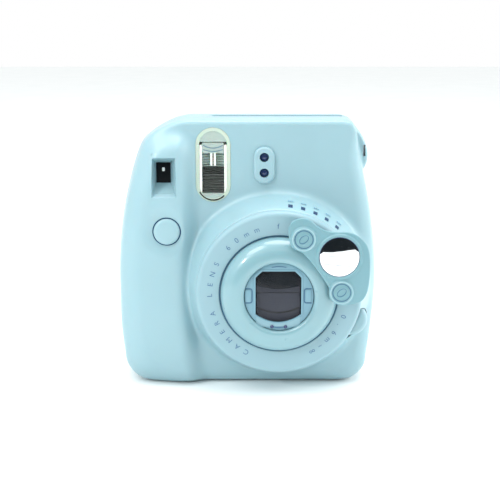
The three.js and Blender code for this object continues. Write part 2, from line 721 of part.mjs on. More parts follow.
// A coil spring along Y from y0 to y1.
function coilSpring(x, z, radius, wire, y0, y1, turns) {
  const points = [];
  const stepsPerTurn = 8;
  for (let i = 0; i <= turns * stepsPerTurn; i += 1) {
    const angle = (i / stepsPerTurn) * 2 * Math.PI;
    const y = y0 + wire + ((y1 - y0 - 2 * wire) * i) / (turns * stepsPerTurn);
    points.push(new THREE.Vector3(x + radius * Math.cos(angle), y, z + radius * Math.sin(angle)));
  }
  const section = new THREE.Shape();
  section.absarc(0, 0, wire, 0, 2 * Math.PI);
  const path = new THREE.CatmullRomCurve3(points);
  const steps = turns * stepsPerTurn;
  const geometry = new THREE.ExtrudeGeometry(section, { steps, extrudePath: path, curveSegments: 3 });
  return solid(geometry);
}

function shutterSwitch() {
  const body = box(buttonX - 3.5, buttonX + 3.5, -7.4, -3.4, buttonZ - 10, buttonZ + 3);
  const foot = box(buttonX - 3.5, buttonX + 3.5, -3.8, holder.y0 - gap, buttonZ - 10, buttonZ - 4);
  return join(body, foot, rodY(buttonX, buttonZ, 0.9, -7.7, -7, 12));
}

function lensButton() {
  const crescent = lensButtonShape(0).intersect(box(30, 70, -15, -3, 10, 50));
  const flange = plate(roundedRect(45.2, 51.5, 24, 37, 2), -6.4, -5);
  return join(crescent, flange);
}

function flashWindow() {
  const skirt = plate(stadium(flash, 0), frontY - 1.2, frontY + 2.6, 12);
  const flange = plate(stadium(flash, 1), frontY + 2.4, frontY + 3.4, 12).intersect(box(-21.2, 0, -20, 0, 86, 111));
  return cut(join(skirt, flange), plate(stadium(flash, -1.2), frontY, frontY + 6, 12));
}

function flashReflector() {
  const half = flash.width / 2 - 1.9;
  const trough = new THREE.Shape();
  trough.moveTo(flash.x - half, -7);
  trough.quadraticCurveTo(flash.x, -1.5, flash.x + half, -7);
  trough.lineTo(flash.x + half + 0.6, -6.6);
  trough.quadraticCurveTo(flash.x, 0, flash.x - half - 0.6, -6.6);
  trough.closePath();
  const geometry = new THREE.ExtrudeGeometry(trough, { depth: 20, bevelEnabled: false, curveSegments: 8 });
  geometry.translate(0, 0, flash.z - 10);
  return solid(geometry);
}

function flashTube() {
  return rodZ(flash.x, -5.9, 0.9, flash.z - 11.5, flash.z + 11.5, 12);
}

// The board with two stand-offs to the front cover and three chips.
function mainBoard() {
  return join(
    box(14, 42, -3.4, -2, 84, 109),
    rodY(18, 106, 1.8, -6.8, -3, 12),
    rodY(38.5, 88, 1.8, -6.8, -3, 12),
    box(18, 28, -2.2, -0.4, 90, 98),
    box(31, 38, -2.2, -0.8, 96, 103),
    box(20, 25, -2.2, 1.6, 101, 106),
  );
}

function sensorBoss() {
  const outer = join(
    plate(stadium(boss, 0), frontY - 1.7, frontY - gap, 8),
    plate(stadium(boss, -1.5), frontY - 1, frontY + 3, 8),
  );
  return cut(
    outer,
    rodY(boss.x, boss.upperZ, boss.holeR, -20, 0, 16),
    rodY(boss.x, boss.lowerZ, boss.holeR, -20, 0, 16),
  );
}

function sensorLens(z) {
  return turned([[0, -9.6], [1.7, -9.3], [1.7, -7], [0, -7]], boss.x, z, 16);
}

function viewfinderTunnel() {
  const w = finderWindow;
  const outer = box(w.x0 - 1.1, w.x1 + 1.1, -6.2, 30.6, w.z0 - 1.1, w.z1 + 1.1);
  return cut(outer, box(w.x0 - 0.1, w.x1 + 0.1, -10, 40, w.z0 - 0.1, w.z1 + 0.1));
}

function viewfinderWindow() {
  const w = finderWindow;
  return box(w.x0 + gap, w.x1 - gap, finderFloorY + 0.2, finderFloorY + 1.2, w.z0 + gap, w.z1 - gap);
}

function viewfinderEyepiece() {
  const e = eyepiece;
  const frame = plate(roundedRect(e.x0, e.x1, e.z0, e.z1, 2), 31, 35.4);
  const hole = [finder.windowX - 3.6, finder.windowX + 3.6, finder.windowZ - 3.6, finder.windowZ + 3.6];
  return cut(frame, box(hole[0], hole[1], 20, 34.2, hole[2], hole[3]), rodY(finder.windowX, finder.windowZ, 3.4, 30, 40, 24));
}

function viewfinderRearLens() {
  return turned([[0, 31.4], [3.2, 31.7], [3.2, 33], [0, 33.3]], finder.windowX, finder.windowZ, 20);
}

function filmCounterDial() {
  const disc = rodY(counter.x, counter.z, counter.dialR, 31.4, 32.4, 32);
  return cut(disc, rodY(counter.x, counter.z, 1.3, 25, 40, 12));
}

function bottomScrew(x, y) {
  const head = rodZ(x, y, screwHeadR, 0.4, 1.9, 16);
  const shank = rodZ(x, y, 1, 1.7, 3.5, 10);
  return cut(
    join(head, shank),
    box(x - 1.4, x + 1.4, y - 0.3, y + 0.3, 0, 1.2),
    box(x - 0.3, x + 0.3, y - 1.4, y + 1.4, 0, 1.2),
  );
}

// ---------------------------------------------------------------- assembly
addPiece('front_cover', frontCover(), paint.blue);
addPiece('rear_cover', rearCover(), paint.blue);
addPiece('film_door', filmDoor(), paint.blue);
addPiece('film_door_window', plate(roundedRect(6, 20, 38, 66, 2), 33.2, 34.4), paint.clear);
addPiece('film_door_hinge_pin', rodZ(hingeX, hingeY, journalR, pinZ0, pinZ1, 16), paint.steel);
addPiece('film_door_latch', join(
  box(42.7, 46.3, 33.6, 35.3, 63, 74.5),
  box(43.7, 45.3, 30.4, 34, 65.6, 71.5),
), paint.deepBlue);
addPiece('film_pressure_plate', box(-2, 28.4, 30.4, 31.3, 70, 92), paint.steel);
addPiece('battery_door', batteryDoorPiece(), paint.blue);
addPiece('battery_holder', batteryHolder(), paint.black);
addPiece('battery_contact_lower', batteryContact(15.1, 15.5, 15.3, 16.6), paint.brass);
addPiece('battery_contact_upper', batteryContact(66.9, 67.3, 66.2, 67.1), paint.brass);
addPiece('film_chamber_frame', filmChamberFrame(), paint.black);
addPiece('roller_front', roller(rollerFrontY), paint.steel);
addPiece('roller_rear', roller(rollerRearY), paint.steel);
addPiece('roller_gear_front', gear(rollerFrontY, rollerZ, rollerTeeth, frontPhase, journalR + gap), paint.white);
addPiece('roller_gear_rear', gear(rollerRearY, rollerZ, rollerTeeth, rearPhase, journalR + gap), paint.white);
addPiece('drive_gear', gear(driveGearY, driveGearZ, driveTeeth, 0, axleR + gap), paint.white);
addPiece('motor_pinion', motorPinion(), paint.brass);
addPiece('gear_bracket', gearBracket(), paint.steel);
addPiece('motor', motor(), paint.steel);
addPiece('film_exit_trim', filmExitTrim(), paint.deepBlue);
addPiece('film_exit_flap', filmExitFlap(), paint.black);
addPiece('flash_window', flashWindow(), paint.clear);
addPiece('flash_reflector', flashReflector(), paint.mirror);
addPiece('flash_tube', flashTube(), paint.clear);
addPiece('flash_capacitor', rodZ(-34, 0, 5, 20, 56, 20), paint.black);
addPiece('main_board', mainBoard(), paint.green);
addPiece('viewfinder_front_window', viewfinderWindow(), paint.smoke);
addPiece('viewfinder_tunnel', viewfinderTunnel(), paint.black);
addPiece('viewfinder_eyepiece', viewfinderEyepiece(), paint.black);
addPiece('viewfinder_rear_lens', viewfinderRearLens(), paint.clear);
addPiece('sensor_boss', sensorBoss(), paint.blue);
addPiece('light_sensor_upper', sensorLens(boss.upperZ), paint.lamp);
addPiece('light_sensor_lower', sensorLens(boss.lowerZ), paint.lamp);
addPiece('shutter_button', shutterButton(), paint.blue);
addPiece('shutter_button_spring', coilSpring(buttonX, buttonZ, 2.6, 0.3, -11.3, -7.7, 4), paint.steel);
addPiece('shutter_switch', shutterSwitch(), paint.black);
addPiece('lens_button', lensButton(), paint.blue);
lampAngles.forEach((angle, i) => {
  addPiece(`exposure_lamp_${i + 1}`, lampBlock(angle, 1.7, 0.8, 4.4), paint.lamp);
});
addPiece('exposure_dial', exposureDial(), paint.deepBlue);
addPiece('lens_guide_tube', lensGuideTube(), paint.black);
addPiece('lens_barrel', lensBarrel(), paint.blue);
addPiece('lens_hood', lensHood(), paint.blue);
addPiece('lens_face_plate', lensFacePlate(), paint.deepBlue);
addPiece('lens_window', plate(windowOutline(-0.15), -30.3, -29.9, 8), paint.smoke);
addPiece('lens_cover_upper', coverLeaf(50.4, 58, -28.9, -28.4), paint.black);
addPiece('lens_cover_lower', coverLeaf(35.2, 51.4, -28, -27.5), paint.smoke);
addPiece('lens_cell', lensCell(), paint.black);
addPiece('lens_element', lensElement(), paint.clear);
addPiece('shutter_plate', shutterPlate(), paint.black);
addPiece('shutter_blade', shutterBlade(), paint.black);
addPiece('mirror_arm', mirrorArm(), paint.blue);
addPiece('selfie_mirror', selfieMirror(), paint.mirror);
addPiece('film_counter_dial', filmCounterDial(), paint.white);
screwPlaces.forEach(([x, y], i) => {
  addPiece(`bottom_screw_${i + 1}`, bottomScrew(x, y), paint.steel);
});

export default group;
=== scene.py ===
"""Looks of a compact instant camera with a clip-on selfie mirror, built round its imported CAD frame.

Lengths are millimetres in the frame of the CAD model: +Z up, the front faces -Y, and the origin is the
middle of the base. to_mesh() turns them into metres.
"""

import json
import math

import bmesh
import bpy
import numpy as np
from mathutils import Matrix, Vector


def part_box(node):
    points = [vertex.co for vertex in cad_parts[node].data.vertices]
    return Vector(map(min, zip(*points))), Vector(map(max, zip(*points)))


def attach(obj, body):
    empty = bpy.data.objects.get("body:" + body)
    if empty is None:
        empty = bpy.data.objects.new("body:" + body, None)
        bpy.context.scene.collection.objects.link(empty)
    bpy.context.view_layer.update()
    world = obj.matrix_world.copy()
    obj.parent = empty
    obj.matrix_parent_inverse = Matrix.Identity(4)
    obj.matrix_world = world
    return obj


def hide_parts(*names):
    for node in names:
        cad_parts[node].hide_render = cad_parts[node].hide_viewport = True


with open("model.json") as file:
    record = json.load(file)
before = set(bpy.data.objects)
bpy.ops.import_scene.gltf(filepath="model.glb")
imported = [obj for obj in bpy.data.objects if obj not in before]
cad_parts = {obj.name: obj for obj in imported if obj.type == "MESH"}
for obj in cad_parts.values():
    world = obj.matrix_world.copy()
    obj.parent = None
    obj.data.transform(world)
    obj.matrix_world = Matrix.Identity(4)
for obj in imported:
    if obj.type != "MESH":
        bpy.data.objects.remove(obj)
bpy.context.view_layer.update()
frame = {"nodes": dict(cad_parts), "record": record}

MM = 0.001
BODY = "camera_body"


def span(node):
    """Lowest and highest corner of a CAD node, in millimetres."""
    low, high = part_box(node)
    return np.array(low) / MM, np.array(high) / MM


def middle(node):
    """Middle of a CAD node, across and up, in millimetres."""
    low, high = span(node)
    return (low[0] + high[0]) / 2, (low[2] + high[2]) / 2


# ---- dimensions, from the frame
LENS_X, LENS_Z = middle("lens_hood")
HOOD_RIM_Y = span("lens_hood")[0][1]
GRIP_Y = -16.3
FRONT_Y = -9.1
PARTING_Y = 6.0
BACK_Y = span("rear_cover")[1][1]
WALL = 2.0
GAP = 0.3
SEAM = 0.04
CONE_TOP_Y = span("front_cover")[0][1]
CONE_TOP_R = 35.5
CONE_FOOT_Y = -10.6
CONE_FOOT_R = 40.3
DIAL_Y = -26.1
LETTER_R = 29.2
PLATE_Y = -30.6
WINDOW = {"x": LENS_X - 0.3, "half": 9.4, "top": 10.9, "chamfer": 2.7, "side": -7.6}

BUTTON_X, BUTTON_Z = middle("shutter_button")
BUTTON_R = 5.6
LENS_BUTTON = (45.0, 31.5, 7.5)
BITE_R = CONE_TOP_R + 0.9
FINDER = {"x0": -40.4, "x1": -30.4, "z0": 85.8, "z1": 102.9}
FINDER_FLOOR_Y = -9.0
FLASH = {"x": -14.8, "z": 98.9, "width": 14.4, "height": 31.4}
BOSS = {"x": 7.1, "z": 98.8, "width": 9.0, "height": 16.0}
CHAMBER = {"x0": -17.8, "x1": 44.2, "z0": 5.5, "z1": 99.5, "back": 29.3, "wall": 1.5}
DOOR = {"x1": 48.0, "y0": 31.6, "z0": 3.4, "z1": 109.0}
HINGE = {"x": -24.3, "y": 32.4, "r": 3.2, "pin": 1.2, "z0": 50.0, "z1": 60.0}
BATTERY = {"y0": 8.0, "y1": 26.8, "z0": 13.0, "z1": 69.4}
MIRROR = (37.8, 64.4, 8.1)
LOBES = ((23.1, 71.8), (39.0, 49.3))
LOBE_LEAN = 0.7
ARM_FRONT_Y = -35.6
ARM_BACK_Y = -33.2
LAMP_ANGLES = (7.6, 16.1, 24.8, 33.3, 42.0)
LAMP_R = 36.9
SCREWS = ((-36.0, 14.0), (40.0, 14.0))
LIGHT_SENSORS = (("upper", 102.3), ("lower", 95.6))

# Boxes as (x0, x1, y0, y1, z0, z1).
DOOR_LEDGE = (-20.4, 51.5, 29.6, 34, 1.5, 112)
HINGE_LEDGE = (-30, -20.4, 27.2, 34, 1, 112)
LATCH_KEEPER = (43.4, 45.6, 29.9, 32, 60.9, 71.9)
LATCH_TONGUE = (43.7, 45.3, 30.4, 34, 65.6, 71.5)
LATCH_TRAVEL = (43.4, 45.6, 25, 40, 61.2, 71.8)
EXIT_SLOT = (-17.3, 43.3, 8.5, 16.5, 112, 125)
EXIT_RIM = (-17.27, 43.27, 8.53, 16.47, 112.6, 120)
EXIT_BEAD = (-15.6, 41.6, 9.8, 10.7, 117, 118.27)
EXIT_MOUTH = (-15, 41, 10.7, 14.3, 100, 125)
EXIT_LEAF = (-14.7, 40.7, 11, 13.7, 117.05, 117.35)

# Round-cornered openings as (x0, x1, z0, z1, corner radius).
EYEPIECE_HOLE = (-43.3, -29.3, 88.1, 103.1, 2)
COUNTER_HOLE = (-41.5, -34.9, 72.1, 77.1, 0.6)
DOOR_WINDOW = (5.7, 20.3, 37.7, 66.3, 2.3)
LATCH_RECESS = (42.4, 46.6, 58.2, 74.8, 0.8)

# Reach of the cutting tools past the whole camera.
FAR = 80
BELOW = -10
ABOVE = 130

# Control polygons. The outline touches the middle of each of their sides.
BODY_CORNERS = (
    (-29, 118.3), (-37.5, 115), (-45.5, 109.8), (-48.6, 103), (-51.8, 93), (-55.6, 77), (-58, 58),
    (-58.1, 40), (-58.1, 28), (-57, 16), (-55.9, 8.5), (-50.5, 2.4), (-45, 0), (-32, 0), (-10, 0), (20, 0),
    (32, 0), (44, 0), (48.5, 1.8), (53.3, 6.4), (54.7, 10.5), (56.1, 20), (57.6, 38), (57.8, 54), (55.8, 74),
    (52.4, 91), (49, 106), (46.4, 116), (43.2, 118.3), (34, 118.3), (0, 118.3), (-20, 118.3),
)
GRIP_CORNERS = (
    (-35, 112), (-42, 110.5), (-46.5, 105.5), (-50.5, 94), (-54.8, 77), (-57.4, 58), (-57.6, 40), (-57.2, 26),
    (-55, 12), (-49.5, 4.4), (-41, 1.9), (-30, 1.4), (-24, 1.4), (-21, 6), (-22.5, 14), (-24.5, 30),
    (-24.5, 60), (-24.5, 90), (-24.5, 104), (-27, 110.5),
)
ARM_CORNERS = (
    (16.2, 79), (24, 81.4), (29.5, 76.3), (35, 74.6), (42.5, 75.2), (49.8, 70), (51, 59), (49.6, 46.5),
    (43.6, 43.6), (36.6, 43.8), (33.9, 49.6), (34, 51.5), (22.6, 67.2), (17.4, 67.6),
)
LUG_CORNERS = ((44, 95), (51, 93.5), (53.5, 97.5), (53.3, 104), (50.4, 110.4), (46.6, 114.6), (43.6, 117.6))


# ---- materials
# The part of a noise's range that colours and roughness run over.
NOISE_SPAN = (0.3, 0.7)


def srgb(red, green, blue):
    """Linear colour of an 8-bit display colour."""
    linear = []
    for value in (red, green, blue):
        part = value / 255
        linear.append(part / 12.92 if part <= 0.04045 else ((part + 0.055) / 1.055) ** 2.4)
    return (*linear, 1.0)


def scaled(colour, factor):
    return (*(min(1.0, part * factor) for part in colour[:3]), 1.0)


def new_material(name):
    material = bpy.data.materials.new(name)
    material.use_nodes = True
    tree = material.node_tree
    coords = tree.nodes.new("ShaderNodeTexCoord")
    return material, tree, tree.nodes["Principled BSDF"], coords.outputs["Object"]


def set_inputs(node, values):
    for socket, value in values.items():
        node.inputs[socket].default_value = value


def noise(tree, coords, size, detail):
    """Noise whose features are about size millimetres across."""
    node = tree.nodes.new("ShaderNodeTexNoise")
    set_inputs(node, {"Scale": 1 / (size * MM), "Detail": detail})
    tree.links.new(coords, node.inputs["Vector"])
    return node.outputs["Fac"]


def vary_colour(tree, shader, value, low, high):
    ramp = tree.nodes.new("ShaderNodeValToRGB")
    for end, place, colour in zip(ramp.color_ramp.elements, NOISE_SPAN, (low, high)):
        end.position = place
        end.color = colour
    tree.links.new(value, ramp.inputs["Fac"])
    tree.links.new(ramp.outputs["Color"], shader.inputs["Base Color"])


def vary_roughness(tree, shader, value, low, high):
    spread = tree.nodes.new("ShaderNodeMapRange")
    set_inputs(spread, {"From Min": NOISE_SPAN[0], "From Max": NOISE_SPAN[1], "To Min": low, "To Max": high})
    tree.links.new(value, spread.inputs["Value"])
    tree.links.new(spread.outputs["Result"], shader.inputs["Roughness"])


def add_bump(tree, shader, value, height):
    """Relief of the given height in millimetres."""
    bump = tree.nodes.new("ShaderNodeBump")
    set_inputs(bump, {"Strength": 1.0, "Distance": height * MM})
    tree.links.new(value, bump.inputs["Height"])
    tree.links.new(bump.outputs["Normal"], shader.inputs["Normal"])


def moulded(name, colour, roughness, grain=0.004, grain_size=0.35, scatter=0.0, coat=0.0, shine=0.5):
    """Moulded plastic: a colour that drifts a little, a fine mould grain and slight handling polish."""
    material, tree, shader, coords = new_material(name)
    vary_colour(tree, shader, noise(tree, coords, 28, 4), scaled(colour, 0.965), scaled(colour, 1.02))
    vary_roughness(tree, shader, noise(tree, coords, 9, 5), roughness - 0.04, roughness + 0.05)
    add_bump(tree, shader, noise(tree, coords, grain_size, 3), grain)
    set_inputs(shader, {"Subsurface Weight": scatter, "Subsurface Scale": 2 * MM})
    set_inputs(shader, {"Coat Weight": coat, "Coat Roughness": 0.12, "Specular IOR Level": shine})
    return material


def metal(name, colour, roughness, lines=0.0):
    """Metal with fine rolling marks along one direction."""
    material, tree, shader, coords = new_material(name)
    stretch = tree.nodes.new("ShaderNodeMapping")
    set_inputs(stretch, {"Scale": (0.06, 1.0, 1.0)})
    tree.links.new(coords, stretch.inputs["Vector"])
    marks = noise(tree, stretch.outputs["Vector"], 0.25, 4)
    vary_colour(tree, shader, marks, scaled(colour, 0.86), colour)
    vary_roughness(tree, shader, marks, roughness * 0.8, roughness * 1.35)
    add_bump(tree, shader, marks, lines)
    set_inputs(shader, {"Metallic": 1.0})
    return material


def window(name, colour, alpha, roughness):
    """Clear or smoked plastic with faint swirls from moulding."""
    material, tree, shader, coords = new_material(name)
    vary_colour(tree, shader, noise(tree, coords, 6, 3), scaled(colour, 0.92), colour)
    vary_roughness(tree, shader, noise(tree, coords, 3, 4), roughness, roughness + 0.06)
    add_bump(tree, shader, noise(tree, coords, 4, 2), 0.006)
    set_inputs(shader, {"Alpha": alpha, "IOR": 1.49, "Coat Weight": 0.1})
    return material


def ink(name, colour):
    """Screen-printed ink, slightly uneven."""
    material, tree, shader, coords = new_material(name)
    vary_colour(tree, shader, noise(tree, coords, 0.4, 4), scaled(colour, 0.85), scaled(colour, 1.15))
    vary_roughness(tree, shader, noise(tree, coords, 0.8, 2), 0.42, 0.6)
    return material


def floor_material():
    material, tree, shader, coords = new_material("floor_paper")
    vary_colour(tree, shader, noise(tree, coords, 60, 5), srgb(242, 247, 247), srgb(246, 250, 250))
    vary_roughness(tree, shader, noise(tree, coords, 12, 5), 0.55, 0.7)
    add_bump(tree, shader, noise(tree, coords, 1.2, 4), 0.01)
    return material


# Moulded plastics: name, display colour, roughness and what differs from plain moulded plastic.
PLASTICS = (
    ("body_blue", (140, 174, 183), 0.36, {"scatter": 0.12, "coat": 0.1}),
    ("trim_blue", (134, 167, 177), 0.42, {"grain": 0.006, "scatter": 0.1}),
    ("gloss_blue", (119, 158, 167), 0.3, {"grain": 0.001, "scatter": 0.1, "coat": 0.8}),
    ("clip_blue", (107, 150, 160), 0.32, {"grain": 0.001, "scatter": 0.1, "coat": 0.15}),
    ("plate_blue", (108, 150, 166), 0.34, {"grain": 0.002, "coat": 0.2}),
    ("black_plastic", (24, 25, 28), 0.5, {"grain": 0.01}),
    # Near black, also used as painted shade on the upper lens leaf, the finder pane and the crescent at the
    # foot of the flash.
    ("deep_black", (9, 16, 20), 0.4, {"shine": 0.1}),
    ("window_grey", (70, 73, 85), 0.4, {"shine": 0.2}),
    ("white_plastic", (228, 229, 224), 0.4, {"scatter": 0.2}),
    ("frosted_blue", (124, 160, 172), 0.4, {"grain": 0.01, "grain_size": 0.6}),
    ("frosted_grey", (156, 173, 168), 0.45, {"grain": 0.03, "grain_size": 0.8, "scatter": 0.3}),
    ("frosted", (178, 194, 180), 0.45, {"grain": 0.02, "grain_size": 0.6, "scatter": 0.3}),
    ("board_green", (31, 90, 58), 0.45, {"grain": 0.02, "grain_size": 1.5}),
    ("lamp_blue", (24, 44, 88), 0.25, {"grain": 0.002, "coat": 0.6}),
    # The next finish is painted shade: a dark ring in the gap round the shutter key.
    ("dark_line", (26, 62, 96), 0.5, {"shine": 0.2}),
    # The next finish darkens seams, and is painted shade in the groove round the face plate tabs and beside
    # the raised rings of the mirror clip.
    ("seam_and_shade_blue", (58, 100, 128), 0.5, {}),
    # The reflector is dark plastic, painted with the dark reflections the flash reflector shows; its darker
    # copy below paints the darkest reflection in the middle of the flash.
    ("reflector", (66, 70, 70), 0.4, {"grain": 0.02, "shine": 0.3}),
    ("reflector_painted_dark_reflection", (36, 40, 44), 0.4, {"grain": 0.02, "shine": 0.2}),
)
FINISHES = {
    "steel": metal("steel", srgb(200, 202, 206), 0.28, lines=0.004),
    "brass": metal("brass", srgb(214, 180, 100), 0.3, lines=0.004),
    "mirror": metal("mirror", srgb(240, 243, 246), 0.03),
    "clear_window": window("clear_window", srgb(226, 236, 222), 0.015, 0.06),
    "smoke_window": window("smoke_window", srgb(40, 44, 52), 0.16, 0.05),
    "ink": ink("ink", srgb(62, 98, 134)),
    "pale_ink": ink("pale_ink", srgb(132, 178, 202)),
}
for finish, colour, roughness, looks in PLASTICS:
    FINISHES[finish] = moulded(finish, srgb(*colour), roughness, **looks)


# ---- mesh helpers
def add_object(name, data):
    obj = bpy.data.objects.new(name, data)
    bpy.context.scene.collection.objects.link(obj)
    return obj


def to_mesh(name, points, faces):
    mesh = bpy.data.meshes.new(name)
    mesh.from_pydata((np.asarray(points, float) * MM).tolist(), [], [list(face) for face in faces])
    mesh.update()
    return add_object(name, mesh)


def baked(obj):
    """The object with its modifiers applied to its mesh."""
    graph = bpy.context.evaluated_depsgraph_get()
    mesh = bpy.data.meshes.new_from_object(obj.evaluated_get(graph))
    obj.modifiers.clear()
    obj.data = mesh
    return obj


def combine(obj, tools, operation):
    """Joins, cuts or intersects obj with each tool in turn, and removes the tools."""
    for tool in tools:
        step = obj.modifiers.new(operation, "BOOLEAN")
        step.operation = operation
        step.solver = "MANIFOLD"
        step.object = tool
    baked(obj)
    for tool in tools:
        bpy.data.objects.remove(tool)
    return obj


def cut(obj, *tools):
    return combine(obj, tools, "DIFFERENCE")


def join(obj, *tools):
    return combine(obj, tools, "UNION")


def keep(obj, *tools):
    return combine(obj, tools, "INTERSECT")


def copy_of(obj, name):
    twin = obj.copy()
    twin.data = obj.data.copy()
    twin.name = name
    bpy.context.scene.collection.objects.link(twin)
    return twin


def round_edges(obj, width, segments, angle):
    edges = obj.modifiers.new("round_edges", "BEVEL")
    edges.width = width * MM
    edges.segments = segments
    edges.limit_method = "ANGLE"
    edges.angle_limit = math.radians(angle)


def dress(obj, body, finish, stands_for=(), sharp=32.0, bevel=0.0):
    """Gives a piece its finish, smooth shading with sharp creases, small round edges and its body."""
    obj.data.materials.clear()
    obj.data.materials.append(FINISHES[finish])
    obj.data.shade_smooth()
    if bevel:
        round_edges(obj, bevel, 3, sharp)
    else:
        obj.data.set_sharp_from_angle(angle=math.radians(sharp))
    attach(obj, body)
    if stands_for:
        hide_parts(*stands_for)
    return obj


AXES = {"X": (1, 2, 0), "Y": (0, 2, 1), "Z": (0, 1, 2)}
ON_AXIS = 1e-6


def extruded(name, outline, start, end, axis="Y"):
    """A closed prism. The outline's two coordinates are the other two axes in X, Y, Z order."""
    first, second, along = AXES[axis]
    count = len(outline)
    points = np.zeros((2 * count, 3))
    for k, level in enumerate((start, end)):
        part = slice(k * count, (k + 1) * count)
        points[part, first] = [p[0] for p in outline]
        points[part, second] = [p[1] for p in outline]
        points[part, along] = level
    faces = [range(count), range(2 * count - 1, count - 1, -1)]
    for i in range(count):
        j = (i + 1) % count
        faces.append((j, i, count + i, count + j))
    obj = to_mesh(name, points, faces)
    face_outwards(obj)
    return obj


def face_outwards(obj):
    shape = bmesh.new()
    shape.from_mesh(obj.data)
    bmesh.ops.recalc_face_normals(shape, faces=shape.faces)
    shape.to_mesh(obj.data)
    shape.free()


def circle(x, z, radius, steps=96):
    turn = np.linspace(0, 2 * math.pi, steps, endpoint=False)
    return [(x + radius * math.cos(a), z + radius * math.sin(a)) for a in turn]


def rectangle(x0, x1, z0, z1, radius=0.0, steps=8):
    """A rectangle, with round corners if it has a radius."""
    if radius == 0:
        return [(x0, z0), (x1, z0), (x1, z1), (x0, z1)]
    left, right = x0 + radius, x1 - radius
    low, high = z0 + radius, z1 - radius
    points = []
    for quarter, (x, z) in enumerate(((right, high), (left, high), (left, low), (right, low))):
        for k in range(steps + 1):
            angle = (quarter + k / steps) * math.pi / 2
            points.append((x + radius * math.cos(angle), z + radius * math.sin(angle)))
    return points


def stadium(place, grow=0.0, steps=48):
    """Outline of an upright slot with round ends."""
    radius = place["width"] / 2 + grow
    arm = (place["height"] - place["width"]) / 2
    points = []
    for side, start in ((1, 0.0), (-1, math.pi)):
        z = place["z"] + side * arm
        for k in range(steps + 1):
            angle = start + math.pi * k / steps
            points.append((place["x"] + radius * math.cos(angle), z + radius * math.sin(angle)))
    return points


def block(x0, x1, y0, y1, z0, z1, name="tool"):
    return extruded(name, rectangle(x0, x1, z0, z1), y0, y1)


def plate(name, x0, x1, z0, z1, radius, y0, y1):
    """A flat rectangular piece with round corners that faces along Y."""
    return extruded(name, rectangle(x0, x1, z0, z1, radius), y0, y1)


def drum(x, z, radius, y0, y1, steps=96):
    return extruded("tool", circle(x, z, radius, steps), y0, y1)


def post(x, y, radius, z0, z1, steps=48):
    return extruded("tool", circle(x, y, radius, steps), z0, z1, axis="Z")


def bend(start, corner, end, t):
    """Point at t on the curve that leaves start and reaches end, both towards the corner."""
    return (1 - t) ** 2 * start + 2 * t * (1 - t) * corner + t * t * end


def rounded_path(corners, radius, steps=6):
    """An open path whose inner corners are rounded by up to a radius."""
    points = [corners[0]]
    for before, corner, after in zip(corners, corners[1:], corners[2:]):
        before, corner, after = (np.array(p, float) for p in (before, corner, after))
        to_before, to_after = before - corner, after - corner
        reach = min(radius, np.linalg.norm(to_before) / 2.1, np.linalg.norm(to_after) / 2.1)
        start = corner + to_before / np.linalg.norm(to_before) * reach
        end = corner + to_after / np.linalg.norm(to_after) * reach
        for k in range(steps + 1):
            points.append(tuple(bend(start, corner, end, k / steps)))
    points.append(corners[-1])
    return points


def turned(name, profile, x=LENS_X, z=LENS_Z, steps=180, radius=0.0):
    """A profile of (radius, y) points turned about an axis along Y. It closes on itself or on the axis."""
    path = rounded_path(profile, radius) if radius else list(profile)
    points, rings, faces = [], [], []
    for r, y in path:
        first = len(points)
        if r < ON_AXIS:
            points.append((x, y, z))
            rings.append([first] * steps)
            continue
        turn = np.linspace(0, 2 * math.pi, steps, endpoint=False)
        points += [(x + r * math.cos(a), y, z + r * math.sin(a)) for a in turn]
        rings.append(range(first, first + steps))
    pairs = list(zip(rings, rings[1:]))
    if path[0][0] > ON_AXIS or path[-1][0] > ON_AXIS:
        pairs.append((rings[-1], rings[0]))
    for near, far in pairs:
        for i in range(steps):
            j = (i + 1) % steps
            corners = list(dict.fromkeys((near[i], near[j], far[j], far[i])))
            if len(corners) > 2:
                faces.append(corners)
    obj = to_mesh(name, points, faces)
    face_outwards(obj)
    return obj


def smooth_outline(corners, steps):
    """Closed outline that touches the middle of each side of a control polygon."""
    corners = np.array(corners, float)
    middles = (corners + np.roll(corners, -1, axis=0)) / 2
    points = []
    for before, corner, after in zip(np.roll(middles, 1, axis=0), corners, middles):
        for t in np.arange(steps) / steps:
            points.append(bend(before, corner, after, t))
    return np.array(points)


def ribbon(name, path, width, y_front, y_back):
    """A flat strip that follows an open path of (x, z) points on a plane of constant Y."""
    path = np.array(path, float)
    along = np.gradient(path, axis=0)
    along /= np.linalg.norm(along, axis=1)[:, None]
    side = np.stack([-along[:, 1], along[:, 0]], axis=1) * width / 2
    outline = np.concatenate([path + side, (path - side)[::-1]])
    return extruded(name, [tuple(p) for p in outline], y_front, y_back)


# ---- distance fields
def smooth_union(a, b, blend):
    mix = np.clip(0.5 + 0.5 * (b - a) / blend, 0, 1)
    return b * (1 - mix) + a * mix - blend * mix * (1 - mix)


def smooth_cut(a, b, blend):
    return -smooth_union(-a, b, blend)


def smooth_step(value):
    t = np.clip(value, 0, 1)
    return t * t * (3 - 2 * t)


def outline_distance(outline, x, z):
    """Signed distance from a closed outline, negative inside."""
    best = np.full(np.broadcast(x, z).shape, np.inf)
    inside = np.zeros(best.shape, bool)
    for (ax, az), (bx, bz) in zip(outline, np.roll(outline, -1, axis=0)):
        ex, ez = bx - ax, bz - az
        t = np.clip(((x - ax) * ex + (z - az) * ez) / (ex * ex + ez * ez), 0, 1)
        best = np.minimum(best, (x - ax - ex * t) ** 2 + (z - az - ez * t) ** 2)
        if az != bz:
            inside ^= ((az > z) != (bz > z)) & (x < ex * (z - az) / ez + ax)
    return np.where(inside, -np.sqrt(best), np.sqrt(best))


def stadium_distance(place, x, z):
    """Signed distance from an upright slot with round ends, negative inside."""
    arm = (place["height"] - place["width"]) / 2
    above = np.maximum(np.abs(z - place["z"]) - arm, 0)
    return np.hypot(x - place["x"], above) - place["width"] / 2


